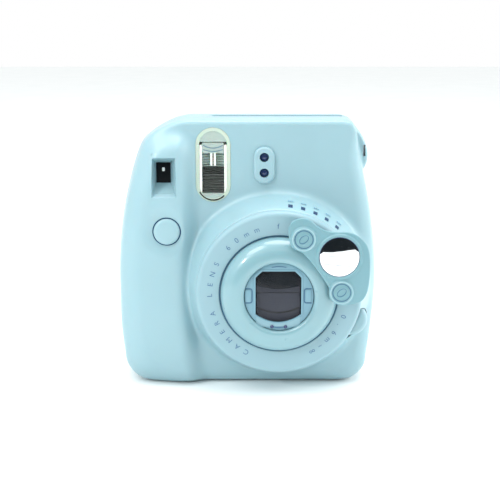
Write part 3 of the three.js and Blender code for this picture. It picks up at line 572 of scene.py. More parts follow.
def rounded_edge(side, depth, radius):
    """Field of a solid with a round edge, from its distance outside the outline and its depth."""
    a, b = side + radius, radius - depth
    return np.minimum(np.maximum(a, b), 0) + np.hypot(np.maximum(a, 0), np.maximum(b, 0)) - radius


def cubic_weights(t):
    """Weights and slopes of the four samples round a point, for a Catmull-Rom curve."""
    t2, t3 = t * t, t * t * t
    weights = [t2 - 0.5 * (t + t3), 1 - 2.5 * t2 + 1.5 * t3, 0.5 * t + 2 * t2 - 1.5 * t3, 0.5 * (t3 - t2)]
    slopes = [-0.5 + 2 * t - 1.5 * t2, -5 * t + 4.5 * t2, 0.5 + 4 * t - 4.5 * t2, 0.5 * (3 * t2 - 2 * t)]
    return weights, slopes


def sample_field(values, place):
    """Value and slope of a sampled field at places given in grid steps."""
    base = np.floor(place).astype(int)
    base = np.clip(base, 1, np.array(values.shape) - 3)
    parts = [cubic_weights(place[:, axis] - base[:, axis]) for axis in range(3)]
    value = np.zeros(len(place))
    slope = np.zeros((len(place), 3))
    for i in range(4):
        for j in range(4):
            for k in range(4):
                found = values[base[:, 0] + i - 1, base[:, 1] + j - 1, base[:, 2] + k - 1]
                (wx, sx), (wy, sy), (wz, sz) = ((w[n], s[n]) for (w, s), n in zip(parts, (i, j, k)))
                value += found * wx * wy * wz
                slope[:, 0] += found * sx * wy * wz
                slope[:, 1] += found * wx * sy * wz
                slope[:, 2] += found * wx * wy * sz
    return value, slope


def surface(name, field, low, high, pitch):
    """A closed mesh of the zero surface of field(x, y, z), found by surface nets on a grid."""
    counts = [int(math.ceil((b - a) / pitch)) + 1 for a, b in zip(low, high)]
    x, y, z = (a + pitch * np.arange(n) for a, n in zip(low, counts))
    values = field(x[:, None, None], y[None, :, None], z[None, None, :])
    # The surface closes where it meets the box.
    for side in (0, -1):
        values[side], values[:, side], values[:, :, side] = 0.5, 0.5, 0.5
    strides = np.array([counts[1] * counts[2], counts[2], 1])
    cells, crossings = [], []
    for axis in range(3):
        ahead = [slice(None)] * 3
        behind = [slice(None)] * 3
        ahead[axis], behind[axis] = slice(1, None), slice(None, -1)
        near, far = values[tuple(behind)], values[tuple(ahead)]
        edges = np.argwhere((near < 0) != (far < 0))
        start, end = near[tuple(edges.T)], far[tuple(edges.T)]
        place = edges.astype(float)
        place[:, axis] += start / (start - end)
        u, v = (axis + 1) % 3, (axis + 2) % 3
        around = []
        for du, dv in ((0, 0), (-1, 0), (-1, -1), (0, -1)):
            cell = edges.copy()
            cell[:, u] += du
            cell[:, v] += dv
            around.append(cell @ strides)
        around = np.stack(around, axis=1)
        around[start >= 0] = around[start >= 0][:, ::-1]
        cells.append(around)
        crossings.append(place)
    cells = np.concatenate(cells)
    crossings = np.repeat(np.concatenate(crossings), 4, axis=0)
    index = np.unique(cells.ravel(), return_inverse=True)[1]
    total = np.bincount(index)
    place = np.stack([np.bincount(index, weights=crossings[:, axis]) / total for axis in range(3)], axis=1)
    for _ in range(2):
        value, slope = sample_field(values, place)
        steepness = np.maximum((slope**2).sum(axis=1), 1e-9)
        move = -(value / steepness)[:, None] * slope
        place += np.clip(move, -0.4, 0.4)
    return to_mesh(name, np.array(low) + place * pitch, index.reshape(-1, 4))


# ---- covers
OUTLINE_STEPS = 12
BODY_OUTLINE = smooth_outline(BODY_CORNERS, OUTLINE_STEPS)
GRIP_OUTLINE = smooth_outline(GRIP_CORNERS, OUTLINE_STEPS)
LUG_OUTLINE = smooth_outline(LUG_CORNERS, 6)
FRONT_EDGE = 6.0
BACK_EDGE = 10.0
WALL_BLEND = 1.2
COVER_PITCH = 0.55
CAVITY_PITCH = 1.3


def grip_field(x, y, z):
    """The hand grip: it stands out less at its foot, and its outer edge is rounder than its inner one."""
    side = outline_distance(GRIP_OUTLINE, x, z)
    face = GRIP_Y + 2.6 * (1 - smooth_step((z + 4) / 46)) + 1.2 * smooth_step((z - 84) / 30)
    edge = 12 - 5 * smooth_step((x + 46) / 18)
    return rounded_edge(side, y - face, edge)


def cone_field(x, y, z):
    radius = np.hypot(x - LENS_X, z - LENS_Z)
    slope = (CONE_FOOT_R - CONE_TOP_R) / (CONE_FOOT_Y - CONE_TOP_Y)
    side = (radius - CONE_TOP_R - (y - CONE_TOP_Y) * slope) / math.hypot(1, slope)
    return rounded_edge(side, y - CONE_TOP_Y, 1.1)


def dish_field(x, y, z):
    """A shallow bowl round the shutter button."""
    bowl_r, depth = 9.4, 1.9
    ball_r = (bowl_r**2 + depth**2) / (2 * depth)
    centre_y = GRIP_Y + depth - ball_r
    return np.sqrt((x - BUTTON_X) ** 2 + (y - centre_y) ** 2 + (z - BUTTON_Z) ** 2) - ball_r


def draft(y, z):
    """How far the walls draw in away from the parting plane; the base does not, the top only at the back."""
    forward = 0.13 * np.maximum(PARTING_Y - y, 0)
    forward = forward * smooth_step((z - 1) / 14) * (1 - smooth_step((z - 102) / 14))
    top = smooth_step((z - 104) / 12)
    backward = 0.03 * np.maximum(y - PARTING_Y, 0) * (1 - top) + 0.06 * np.maximum(y - 17, 0) * top
    return forward + backward


def front_field(x, y, z):
    wall = outline_distance(BODY_OUTLINE, x, z) + draft(y, z)
    edge = FRONT_EDGE - 3.4 * smooth_step((z - 98) / 18)
    body = rounded_edge(wall, y - FRONT_Y, edge)
    whole = smooth_union(body, grip_field(x, y, z), 5.0)
    whole = smooth_union(whole, cone_field(x, y, z), 2.6)
    whole = smooth_cut(whole, -wall, WALL_BLEND)
    return smooth_cut(whole, dish_field(x, y, z), 1.0)


def rear_field(x, y, z):
    wall = outline_distance(BODY_OUTLINE, x, z) + draft(y, z) + WALL_BLEND / 4
    return rounded_edge(wall, BACK_Y - y, BACK_EDGE)


def lug_field(x, y, z):
    side = outline_distance(LUG_OUTLINE, x, z)
    return rounded_edge(side, 5.3 - np.abs(y - 13.0), 1.6)


def rear_with_lug_field(x, y, z):
    return smooth_union(rear_field(x, y, z), lug_field(x, y, z), 1.5)


def inner(field):
    """The same field drawn in by one wall."""
    return lambda x, y, z: field(x, y, z) + WALL


FRONT_BOX = ((-60.5, -25.0, -2.2), (60.5, 9.0, 120.5))
REAR_BOX = ((-60.5, 3.0, -2.2), (60.5, 38.0, 120.5))


def funnel(mouth, floor, y0, y1):
    """A four-sided funnel between two rectangles (x0, x1, z0, z1)."""
    points = []
    for (x0, x1, z0, z1), y in ((mouth, y0), (floor, y1)):
        points += [(x0, y, z0), (x1, y, z0), (x1, y, z1), (x0, y, z1)]
    faces = [(0, 1, 2, 3), (7, 6, 5, 4)] + [(i, 4 + i, 4 + (i + 1) % 4, (i + 1) % 4) for i in range(4)]
    obj = to_mesh("tool", points, faces)
    face_outwards(obj)
    return obj


def lens_button_tool(grow):
    x, z, radius = LENS_BUTTON
    outer = drum(x, z, radius + grow, -24, -5)
    return cut(outer, drum(LENS_X, LENS_Z, BITE_R - grow, -30, 0, 180))


def on_cone(angle, radius, y, size, name="tool"):
    """A small block at an angle from up towards +X round the lens."""
    half = np.array(size) / 2
    obj = block(-half[0], half[0], y - half[1], y + half[1], radius - half[2], radius + half[2], name)
    turn = Matrix.Rotation(math.radians(angle), 4, "Y")
    obj.data.transform(Matrix.Translation((LENS_X * MM, 0, LENS_Z * MM)) @ turn)
    return obj


def front_cover():
    """Front shell with its grip and cone, opened for the finder, lens, flash, sensors, lamps and keys."""
    tunnel_low, tunnel_high = span("viewfinder_tunnel")
    tunnel_wall, edge = 1.1, 0.5
    x0, x1 = tunnel_low[0] + tunnel_wall, tunnel_high[0] - tunnel_wall
    z0, z1 = tunnel_low[2] + tunnel_wall, tunnel_high[2] - tunnel_wall
    cover = surface("front_shell", front_field, *FRONT_BOX, COVER_PITCH)
    cavity = surface("tool", inner(front_field), *FRONT_BOX, CAVITY_PITCH)
    cut(cover, cavity, block(-FAR, FAR, PARTING_Y - SEAM, 20, BELOW, ABOVE))
    pocket = block(FINDER["x0"] - 0.4, FINDER["x1"] + 1.6, GRIP_Y + 2.2, FINDER_FLOOR_Y + 1.2, 85.3, 104.4)
    join(cover, pocket)
    mouth = (FINDER["x0"] - edge, FINDER["x1"] + edge, FINDER["z0"] - edge, FINDER["z1"] + edge)
    cut(
        cover,
        drum(LENS_X, LENS_Z, CONE_TOP_R - 1.4, -30, 0, 180),
        funnel(mouth, (x0, x1, z0, z1), GRIP_Y - 0.6, FINDER_FLOOR_Y),
        block(x0, x1, -10, 0, z0, z1),
        drum(BUTTON_X, BUTTON_Z, BUTTON_R + 0.55, -20, -5),
        extruded("tool", stadium(FLASH, GAP), -20, 0),
        extruded("tool", stadium(BOSS, -1.2), -20, 0),
        lens_button_tool(GAP),
        *(on_cone(angle, LAMP_R, -19.6, (1.9, 8, 0.9)) for angle in LAMP_ANGLES),
    )
    return dress(cover, BODY, "body_blue", ["front_cover"])


def screw_bore(x, y):
    return post(x, y, 2.4, -1, 2.2)


def rear_cover(outer):
    """Rear cover: shell, ledges round the film opening, hinge knuckle and strap lug."""
    h, c, d, b = HINGE, CHAMBER, DOOR, BATTERY
    cover = surface("rear_shell", rear_with_lug_field, *REAR_BOX, COVER_PITCH)
    cut(cover, surface("tool", inner(rear_field), *REAR_BOX, CAVITY_PITCH))
    ledges = block(*DOOR_LEDGE)
    counter_post = drum(-38.2, 79.6, 1, 30.8, 34.2, 24)
    join(ledges, block(*HINGE_LEDGE), counter_post)
    keep(ledges, copy_of(outer, "tool"))
    join(cover, ledges)
    rim = c["wall"] + GAP
    cut(
        cover,
        block(-FAR, FAR, -5, PARTING_Y + SEAM, BELOW, ABOVE),
        door_prism(GAP),
        post(h["x"], h["y"], h["r"] + GAP, d["z0"] - GAP, h["z0"] + GAP),
        post(h["x"], h["y"], h["r"] + GAP, h["z1"] - GAP, d["z1"] + GAP),
        block(h["x"] - h["r"] - GAP, h["x"], h["y"], 40, d["z0"] - GAP, d["z1"] + GAP),
    )
    join(cover, post(h["x"], h["y"], h["r"], h["z0"] + GAP, h["z1"] - GAP))
    cut(
        cover,
        block(c["x0"], c["x1"], 20, 40, c["z0"], c["z1"]),
        block(c["x0"] - rim, c["x1"] + rim, 5, c["back"] + GAP, c["z0"] - rim, c["z1"] + rim),
        block(*LATCH_KEEPER),
        post(h["x"], h["y"], h["pin"] + GAP, h["z0"] - 1, h["z1"] + 1),
        block(-62, -49.9, b["y0"] - GAP, b["y1"] + GAP, b["z0"] - GAP, b["z1"] + GAP),
        block(*EXIT_SLOT),
        plate("tool", *EYEPIECE_HOLE, 28, 40),
        plate("tool", *COUNTER_HOLE, 30, 40),
        funnel((51.7, 52.6, 100.4, 105.4), (50.2, 51.3, 100.4, 105.4), 0, 26),
        *(screw_bore(x, y) for x, y in SCREWS),
    )
    return dress(cover, BODY, "body_blue", ["rear_cover"])


def door_prism(grow):
    d = DOOR
    outline = rectangle(HINGE["x"] - 8, d["x1"] + grow, d["z0"] - grow, d["z1"] + grow, 6)
    return keep(extruded("tool", outline, d["y0"] - grow, 40), block(HINGE["x"], 70, 25, 42, BELOW, ABOVE))


def film_door(outer):
    """Film door with its hinge barrel in two lengths, cut for the window and the latch."""
    h, d = HINGE, DOOR
    door = keep(copy_of(outer, "film_door_skin"), door_prism(0))
    join(door, keep(post(h["x"], h["y"], h["r"], d["z0"], d["z1"]), copy_of(outer, "tool")))
    cut(
        door,
        post(h["x"], h["y"], h["pin"] + GAP, -5, ABOVE),
        post(h["x"], h["y"], h["r"] + GAP, h["z0"], h["z1"]),
        plate("tool", *DOOR_WINDOW, 25, 40),
        plate("tool", *LATCH_RECESS, 33.3, 40),
        block(*LATCH_TRAVEL),
    )
    return dress(door, "film_door", "body_blue", ["film_door"])


def battery_door():
    """Battery door: a piece of the side wall with a row of thumb ridges."""
    b = BATTERY
    skin = surface("battery_door_skin", rear_field, (-60.5, 5.0, 10.0), (-48.0, 30.0, 72.0), 0.45)
    cut(skin, surface("tool", inner(rear_field), (-60.5, 3.5, 8.0), (-46.0, 31.5, 74.0), CAVITY_PITCH))
    keep(skin, block(-62, -50.6, b["y0"], b["y1"], b["z0"], b["z1"]))
    grooves = [block(-62, -56.85, 12.5, 22.3, z, z + 0.9) for z in np.arange(52, 64, 2.2)]
    cut(skin, *grooves)
    return dress(skin, "battery_door", "body_blue", ["battery_door"])


# ---- lens
def arc(centre, radii, start, end, steps=14):
    """Points of (r, y) along an ellipse, with angles in degrees from -Y towards +r."""
    angles = np.radians(np.linspace(start, end, steps))
    return [(centre[0] + radii[0] * math.sin(a), centre[1] - radii[1] * math.cos(a)) for a in angles]


def exposure_dial():
    """Turning ring with a round outer edge, a skirt inside the cone, a pointer and a dark inner edge."""
    y = DIAL_Y
    profile = [
        *arc((25.7, y + 0.3), (0.3, 0.3), -90, 0, 6),
        *arc((33.2, y + 2.3), (2.3, 2.3), 0, 90, 16),
        (35.5, -22.9), (33.7, -22.9), (33.7, -14), (32.7, -14), (32.7, -24.3), (25.4, -24.3),
    ]
    dial = turned("exposure_ring", profile, steps=240)
    pointer = on_cone(LAMP_ANGLES[-1], 34, y - 0.2, (1.2, 1, 1.4))
    join(dial, pointer)
    dress(dial, "exposure_dial", "trim_blue", ["exposure_dial"])
    liner = turned("exposure_ring_liner", rectangle(24.85, 25.5, -25.6, -24.4), steps=240)
    dress(liner, "exposure_dial", "seam_and_shade_blue")


def lens_hood():
    """The round nose of the lens, with a bore for the face plate."""
    rim = HOOD_RIM_Y
    profile = [
        (14.7, rim + 1.5),
        *arc((16.6, rim + 1.5), (1.9, 1.5), -90, 0),
        *arc((16.6, -26), (8.1, 6.6), 0, 90, 22)[1:],
        (24.7, -24), (22.8, -24), (22.8, -26.6), (21.4, -28.6), (18.5, -29.4), (14.7, -29.4),
    ]
    return dress(turned("lens_nose", profile, steps=240), "lens", "gloss_blue", ["lens_hood"])


def window_outline(grow, steps=16):
    """Straight sides, a flat top with cut corners and a bottom that bows down."""
    w, top, c = WINDOW["half"] + grow, WINDOW["top"] + grow, WINDOW["chamfer"]
    x, z = WINDOW["x"], LENS_Z
    points = [(x + w, z + top - c), (x + w - c, z + top), (x - w + c, z + top), (x - w, z + top - c)]
    for t in np.linspace(0, 1, steps):
        low = z + WINDOW["side"] - 4 * t * (1 - t) * (3.3 + grow / 2)
        points.append((x - w + 2 * w * t, low))
    return points


def arc_path(radius, start, end, steps=24):
    """Path round the lens axis; angles in degrees from +X towards up."""
    angles = np.radians(np.linspace(start, end, steps))
    return [(LENS_X + radius * math.cos(a), LENS_Z + radius * math.sin(a)) for a in angles]


def window_hole(grow):
    return extruded("tool", window_outline(grow), -35, -25)


def proud(height):
    """Front and back planes of a trim that stands out of the face plate by a height."""
    return PLATE_Y - height, PLATE_Y + 0.1


def side_tab(side, name):
    """A raised tab beside the lens window, and a dark line round it as painted shade of a groove."""
    middle, top, foot = LENS_X - 0.4, LENS_Z + 3.6, LENS_Z - 2.6
    inner_x, outer_x = middle + side * 10.9, middle + side * 14.0
    path = rounded_path([(outer_x, top), (inner_x, top), (inner_x, foot), (outer_x, foot)], 1.2)
    # Painted shade: a dark strip stands in for the shade in the groove round the tab.
    dress(ribbon(f"plate_tab_line_{name}", path, 0.45, *proud(0.12)), "lens", "seam_and_shade_blue")
    x0, x1 = sorted((inner_x + side * 0.5, outer_x - side * 0.1))
    tab = plate(f"plate_tab_{name}", x0, x1, foot + 0.4, top - 0.4, 0.6, *proud(0.35))
    dress(tab, "lens", "plate_blue", bevel=0.15)


def face_plate():
    """Recessed plate round the lens window, with its bezel, side tabs and lower clip."""
    disc = drum(LENS_X, LENS_Z, 14.5, PLATE_Y, -29.7, 160)
    disc.name = "lens_plate"
    cut(disc, window_hole(0.2))
    dress(disc, "lens", "plate_blue", ["lens_face_plate"], bevel=0.12)
    x, z = WINDOW["x"], LENS_Z
    foot = plate("window_foot", x - 9.3, x + 9.3, z - 13.0, z - 8, 1.2, *proud(0.15))
    cut(foot, window_hole(0.9))
    dress(foot, "lens", "frosted_blue", bevel=0.1)
    bezel = extruded("window_bezel", window_outline(1.0), *proud(0.25))
    cut(bezel, window_hole(0.15))
    dress(bezel, "lens", "plate_blue", bevel=0.15)
    side_tab(-1, "left")
    side_tab(1, "right")
    dress(ribbon("plate_top_line", arc_path(13.1, 77, 104), 0.35, *proud(0.15)), "lens", "seam_and_shade_blue")
    clip = ribbon("plate_clip", arc_path(13.3, 258, 281), 0.55, *proud(0.4))
    dress(clip, "lens", "seam_and_shade_blue", bevel=0.08)
    stud_profile = [(0, -31.4), (0.5, -31.35), (0.75, -31.1), (0.75, -30.5), (0, -30.5)]
    for k, (x, z) in enumerate(arc_path(13.2, 257, 282, 2)):
        dress(turned(f"plate_clip_stud_{k + 1}", stud_profile, x, z, 32), "lens", "lamp_blue")


def lens_window():
    """Smoked pane in front of two leaves; the upper leaf has a bowed lower edge and is painted near black as
    painted shade, the lower leaf grey.
    """
    pane = extruded("lens_pane", window_outline(-0.15), -30.3, -29.9)
    dress(pane, "lens", "smoke_window", ["lens_window"], bevel=0.1)
    x, z, half = WINDOW["x"], LENS_Z, 9.2
    across = np.linspace(-1, 1, 25)
    low, high = span("lens_cover_upper")
    bow = [(x + half * t, z + 3.0 + 1.6 * t * t) for t in across]
    upper = extruded("upper_leaf", [*bow, (x + half, high[2]), (x - half, high[2])], low[1], high[1])
    # Painted shade: the upper leaf is near black for the shade it lies in.
    dress(upper, "lens_cover_upper", "deep_black", ["lens_cover_upper"])
    low, high = span("lens_cover_lower")
    lower = plate("lower_leaf", x - half, x + half, low[2], high[2], 0.5, low[1], high[1])
    dress(lower, "lens_cover_lower", "window_grey", ["lens_cover_lower"], bevel=0.1)
    for k, (height, width, bend) in enumerate(((1.2, 0.25, 0.0), (-6.4, 0.7, 2.2))):
        rib = [(x + 8.8 * t, z + height + bend * (t * t - 0.5)) for t in across]
        ridge = ribbon(f"lower_leaf_rib_{k + 1}", rib, width, low[1] - 0.2, low[1])
        dress(ridge, "lens_cover_lower", "black_plastic")


def glyphs(name, text, size, spots, depth, body, finish, facing=0):
    """Printed characters; each spot is (x, y, z, turn). Turned 180 degrees about Z, they face backwards."""
    shape = bmesh.new()
    for letter, (x, y, z, turn) in zip(text, spots):
        curve = bpy.data.curves.new("glyph", "FONT")
        curve.body = letter
        curve.size = size * MM
        curve.extrude = depth * MM
        curve.align_x = "CENTER"
        curve.align_y = "CENTER"
        writer = add_object("glyph", curve)
        graph = bpy.context.evaluated_depsgraph_get()
        mesh = bpy.data.meshes.new_from_object(writer.evaluated_get(graph))
        upright = Matrix.Rotation(math.radians(facing), 4, "Z") @ Matrix.Rotation(math.pi / 2, 4, "X")
        lean = Matrix.Rotation(math.radians(turn), 4, "Y")
        mesh.transform(Matrix.Translation(Vector((x, y, z)) * MM) @ lean @ upright)
        shape.from_mesh(mesh)
        bpy.data.objects.remove(writer)
    mesh = bpy.data.meshes.new(name)
    bmesh.ops.remove_doubles(shape, verts=shape.verts, dist=1e-7)
    shape.to_mesh(mesh)
    shape.free()
    return dress(add_object(name, mesh), body, finish)


def ring_lettering():
    """Generic lens markings printed round the exposure dial, read clockwise with their tops outwards."""
    for name, text, start, step in (
        ("mark_kind", "CAMERA", 208.3, 8.9),
        ("mark_lens", "LENS", 268.8, 9.2),
        ("mark_focal_length", "60mm", 313.1, 9.4),
        ("mark_aperture", "f", 359.2, 0.0),
        ("mark_focus_range", "0.6m~∞", 109.9, 8.1),
    ):
        spots = []
        for k in range(len(text)):
            angle = math.radians(start + k * step)
            x, z = LENS_X + LETTER_R * math.sin(angle), LENS_Z + LETTER_R * math.cos(angle)
            spots.append((x, DIAL_Y, z, math.degrees(angle)))
        glyphs(name, text, 3.1, spots, 0.04, "exposure_dial", "ink")


# ---- mirror clip
def arm_field(x, y, z):
    """Flat arm with round edges, raised rings on its lobes and a rim round the mirror."""
    outline = smooth_outline(ARM_CORNERS, 10)
    face = ARM_FRONT_Y + 0.95
    middle, half = (face + ARM_BACK_Y) / 2, (ARM_BACK_Y - face) / 2
    arm = rounded_edge(outline_distance(outline, x, z), half - np.abs(y - middle), 0.6)
    for lobe_x, lobe_z in LOBES:
        radius = np.hypot(x - lobe_x, z - lobe_z)
        disc = rounded_edge(radius - 5.3, half - np.abs(y - middle), 0.6)
        arm = smooth_union(arm, disc, 0.8)
        ring = np.hypot(radius - 4.6, y - (face + 0.1)) - 0.75
        arm = smooth_union(arm, ring, 0.2)
        u = (x - lobe_x) * math.cos(LOBE_LEAN) + (z - lobe_z) * math.sin(LOBE_LEAN)
        v = (z - lobe_z) * math.cos(LOBE_LEAN) - (x - lobe_x) * math.sin(LOBE_LEAN)
        reach = np.hypot(u / 2.6, v / 1.75)
        oval = np.hypot((reach - 1) * 2.0, y - (face + 0.05)) - 0.5
        arm = smooth_union(arm, oval, 0.1)
    radius = np.hypot(x - MIRROR[0], z - MIRROR[1])
    rim = np.hypot(radius - (MIRROR[2] + 0.95), y - (face + 0.05)) - 0.65
    arm = smooth_union(arm, rim, 0.3)
    return np.maximum(arm, ARM_FRONT_Y + 0.02 - y)


def oval(x, z, long, short, lean=0.0):
    """Closed path round an oval that leans by an angle in radians."""
    cosine, sine = math.cos(lean), math.sin(lean)
    path = []
    for a in np.linspace(0, 2 * math.pi, 49):
        u, v = long * math.cos(a), short * math.sin(a)
        path.append((x + u * cosine - v * sine, z + u * sine + v * cosine))
    return path


def lobe_trim(k, x, z):
    """Raised ring in the paler body finish as a painted highlight, and two dark lines, one round and one
    oval, as painted shade beside the relief, on a lobe of the arm.
    """
    face = ARM_FRONT_Y + 0.9
    foot, brow, crest = face + 0.2, face - 0.5, face - 0.7
    profile = [(4.25, foot), (4.25, brow), (4.6, crest), (4.95, brow), (4.95, foot)]
    # Painted highlight: the raised ring takes the paler body finish so that its crest reads lighter than the
    # arm.
    dress(turned(f"clip_ring_{k}", profile, x, z, 96, radius=0.15), "mirror_clip", "body_blue")
    for name, path in (("round", oval(x, z, 3.7, 3.7)), ("oval", oval(x, z, 2.2, 1.35, LOBE_LEAN))):
        # Painted shade: dark lines beside the raised rings stand in for their shade.
        line = ribbon(f"clip_{name}_line_{k}", path, 0.35, face - 0.3, face + 0.4)
        dress(line, "mirror_clip", "seam_and_shade_blue")


def mirror_clip():
    """Arm with a sprung leg behind each lobe, and the convex mirror in its seat."""
    arm = surface("clip_arm", arm_field, (11.0, -37.0, 39.5), (54.0, -31.5, 84.5), 0.28)
    legs = []
    for x, z in LOBES:
        collar = turned("tool", rectangle(24.9, 25.2, ARM_BACK_Y - 0.5, -27.4), steps=360)
        legs.append(keep(collar, drum(x, z, 4.6, -40, -20)))
    join(arm, *legs)
    x, z, r = MIRROR
    cut(arm, drum(x, z, r + GAP, -40, -34.2))
    dress(arm, "mirror_clip", "clip_blue", ["mirror_arm"])
    for k, lobe in enumerate(LOBES):
        lobe_trim(k + 1, *lobe)
    dome = [(0, -35.4), *arc((0, 29.9), (65.3, 65.3), 0.5, 6.9, 12), (r, -34.85), (r, -34.5), (0, -34.5)]
    dress(turned("mirror_dome", dome, x, z, 96), "mirror_clip", "mirror", ["selfie_mirror"])
    seat = turned("mirror_seat", rectangle(r - 0.1, r + 0.28, -34.7, -34.25), x, z, 96)
    dress(seat, "mirror_clip", "lamp_blue")


# ---- controls and front details
def shutter_button():
    """Crowned key with a recess behind for its spring, and a dark ring set in the gap round it as painted
    shade.
    """
    profile = [
        (0, -16.7), (3.4, -16.6), (4.7, -16.4), (5.3, -16.1), (5.6, -15.8), (5.6, -12.6), (6.4, -12.6),
        (6.4, -11.6), (4.2, -11.6), (4.2, -14.4), (1.3, -14.4), (1.3, -8.9), (0, -8.9),
    ]
    cap = turned("shutter_key", profile, BUTTON_X, BUTTON_Z, 120, radius=0.35)
    dress(cap, "shutter_button", "body_blue", ["shutter_button"])
    # Painted shade: a dark ring fills the gap round the key, darkening it as shade would.
    well = turned("shutter_well", rectangle(5.64, 6.16, -15.1, -12.9), BUTTON_X, BUTTON_Z, 96)
    dress(well, BODY, "dark_line")


def lens_button():
    """Round key with a bite where the cone comes down to it."""
    x, z, radius = LENS_BUTTON

    def field(px, py, pz):
        outer = np.hypot(px - x, pz - z) - radius
        bite = BITE_R - np.hypot(px - LENS_X, pz - LENS_Z)
        side = -smooth_union(-outer, -bite, 0.8)
        return np.maximum(rounded_edge(side, py + 15, 2.2), py + 3)

    key = surface("lens_key", field, (36.0, -16.5, 22.0), (54.5, -2.0, 41.0), 0.3)
    dress(key, "lens_button", "body_blue", ["lens_button"])


def sensor_boss():
    """Raised housing with the beads of the two light sensors."""
    def field(x, y, z):
        side = stadium_distance(BOSS, x, z)
        return np.maximum(rounded_edge(side, y - (FRONT_Y - 1.7), 1.1), y + 7.5)

    boss = surface("sensor_housing", field, (0.5, -13.0, 88.0), (13.5, -6.0, 110.0), 0.25)
    cut(boss, *(drum(BOSS["x"], z, 2.0, -20, 0, 64) for name, z in LIGHT_SENSORS))
    dress(boss, BODY, "body_blue", ["sensor_boss"])
    profile = [(0, -9.7), (0.9, -9.55), (1.6, -9.1), (1.95, -8.9), (1.95, -7.6), (0, -7.6)]
    for name, z in LIGHT_SENSORS:
        bead = turned(f"sensor_bead_{name}", profile, BOSS["x"], z, 48, radius=0.3)
        dress(bead, BODY, "lamp_blue", [f"light_sensor_{name}"])


def ribbed_panel(name, x, bottom, top, count, finish, stands_for=()):
    """A bowed panel of horizontal ridges."""
    half, crest, floor = 5.15, -7.0, -5.9
    pitch = (top - bottom) / count
    levels = []
    for k in range(count):
        levels += [(bottom + pitch * k, crest), (bottom + pitch * (k + 0.4), floor)]
    levels.append((top, crest))
    columns = np.linspace(-1, 1, 13)
    points = [(x + half * u, y - 1.2 * u * u, level) for level, y in levels for u in columns]
    width = len(columns)
    faces = []
    for row in range(len(levels) - 1):
        for column in range(width - 1):
            k = row * width + column
            faces.append((k, k + 1, k + width + 1, k + width))
    panel = to_mesh(name, points, faces)
    thick = panel.modifiers.new("thickness", "SOLIDIFY")
    thick.thickness = 0.3 * MM
    dress(baked(panel), BODY, finish, stands_for, sharp=25)


def flash_cover():
    """Clear domed cover of the flash, hollow behind."""
    def field(x, y, z):
        side = stadium_distance(FLASH, x, z)
        outer = rounded_edge(side, y - (FRONT_Y - 1.6), 1.6)
        hollow = rounded_edge(side + 0.9, y - (FRONT_Y - 0.8), 1.0)
        return np.maximum(np.maximum(outer, -hollow), y - (FRONT_Y + 3.3))

    cover = surface("flash_cover", field, (-23.5, -12.5, 81.5), (-6.0, -4.5, 116.5), 0.3)
    dress(cover, BODY, "clear_window", ["flash_window"])
    rim = extruded("flash_rim", stadium(FLASH, 0.25), -9.3, -6.4)
    cut(rim, extruded("tool", stadium(FLASH, -1.25), -20, 0))
    dress(rim, BODY, "frosted")


def flash_unit():
    """Ribbed reflector, painted darkest in the middle as painted reflection, with white cheeks, two prongs, a
    bridge, frosted end caps and a painted shade crescent at its foot.
    """
    x, z = FLASH["x"], FLASH["z"]
    top, bottom = z + 5.0, z - 11.7
    ribbed_panel("flash_ribs_lower", x, bottom, z - 4.6, 6, "reflector")
    # Painted reflection: the middle ridges take a darker copy of the reflector finish for the dark reflection
    # there.
    ribbed_panel("flash_ribs_middle", x, z - 4.6, z - 0.5, 4, "reflector_painted_dark_reflection", ["flash_reflector"])
    ribbed_panel("flash_ribs_upper", x, z - 0.5, top, 5, "frosted_grey")
    for side, name in ((-1, "left"), (1, "right")):
        x0, x1 = sorted((x + side * 4.75, x + side * 5.9))
        cheek = plate(f"flash_cheek_{name}", x0, x1, bottom - 0.4, top + 3.6, 0.3, -9.0, -6.2)
        dress(cheek, BODY, "white_plastic", bevel=0.12)
        x0, x1 = x + side * 0.75 - 0.45, x + side * 0.75 + 0.45
        prong = plate(f"flash_prong_{name}", x0, x1, top - 5.4, top + 1, 0.4, -8.7, -7.2)
        dress(prong, BODY, "white_plastic", bevel=0.12)
    bridge = plate("flash_bridge", x - 4.7, x + 4.7, top, top + 4.6, 0.8, -8.9, -6.2)
    dress(bridge, BODY, "frosted_grey", bevel=0.3)
    for name, low, high in (("upper", top + 4.9, ABOVE), ("lower", 70, bottom - 0.7)):
        cap = extruded(f"flash_cap_{name}", stadium(FLASH, -1.2), -9.2, -6.0)
        keep(cap, block(-30, 0, -20, 0, low, high))
        dress(cap, BODY, "frosted_grey", bevel=0.3)
    for k, (height, dip) in enumerate(((top + 3.4, 1.2), (top + 1.6, 0.8))):
        path = [(x + 4.2 * t, height - dip * (1 - t * t)) for t in np.linspace(-1, 1, 17)]
        dress(ribbon(f"flash_bridge_line_{k + 1}", path, 0.3, -9.0, -8.8), BODY, "seam_and_shade_blue")
    # Painted shade: a near-black crescent along the lower left edge of the lower cap, in the gap by the rim.
    low = [(x + 6.5 * math.sin(a), z - 8.7 - 6.5 * math.cos(a)) for a in np.linspace(-1.1, 0.8, 25)]
    dress(ribbon("flash_lower_line", low, 0.5, -9.6, -9.25), BODY, "deep_black")


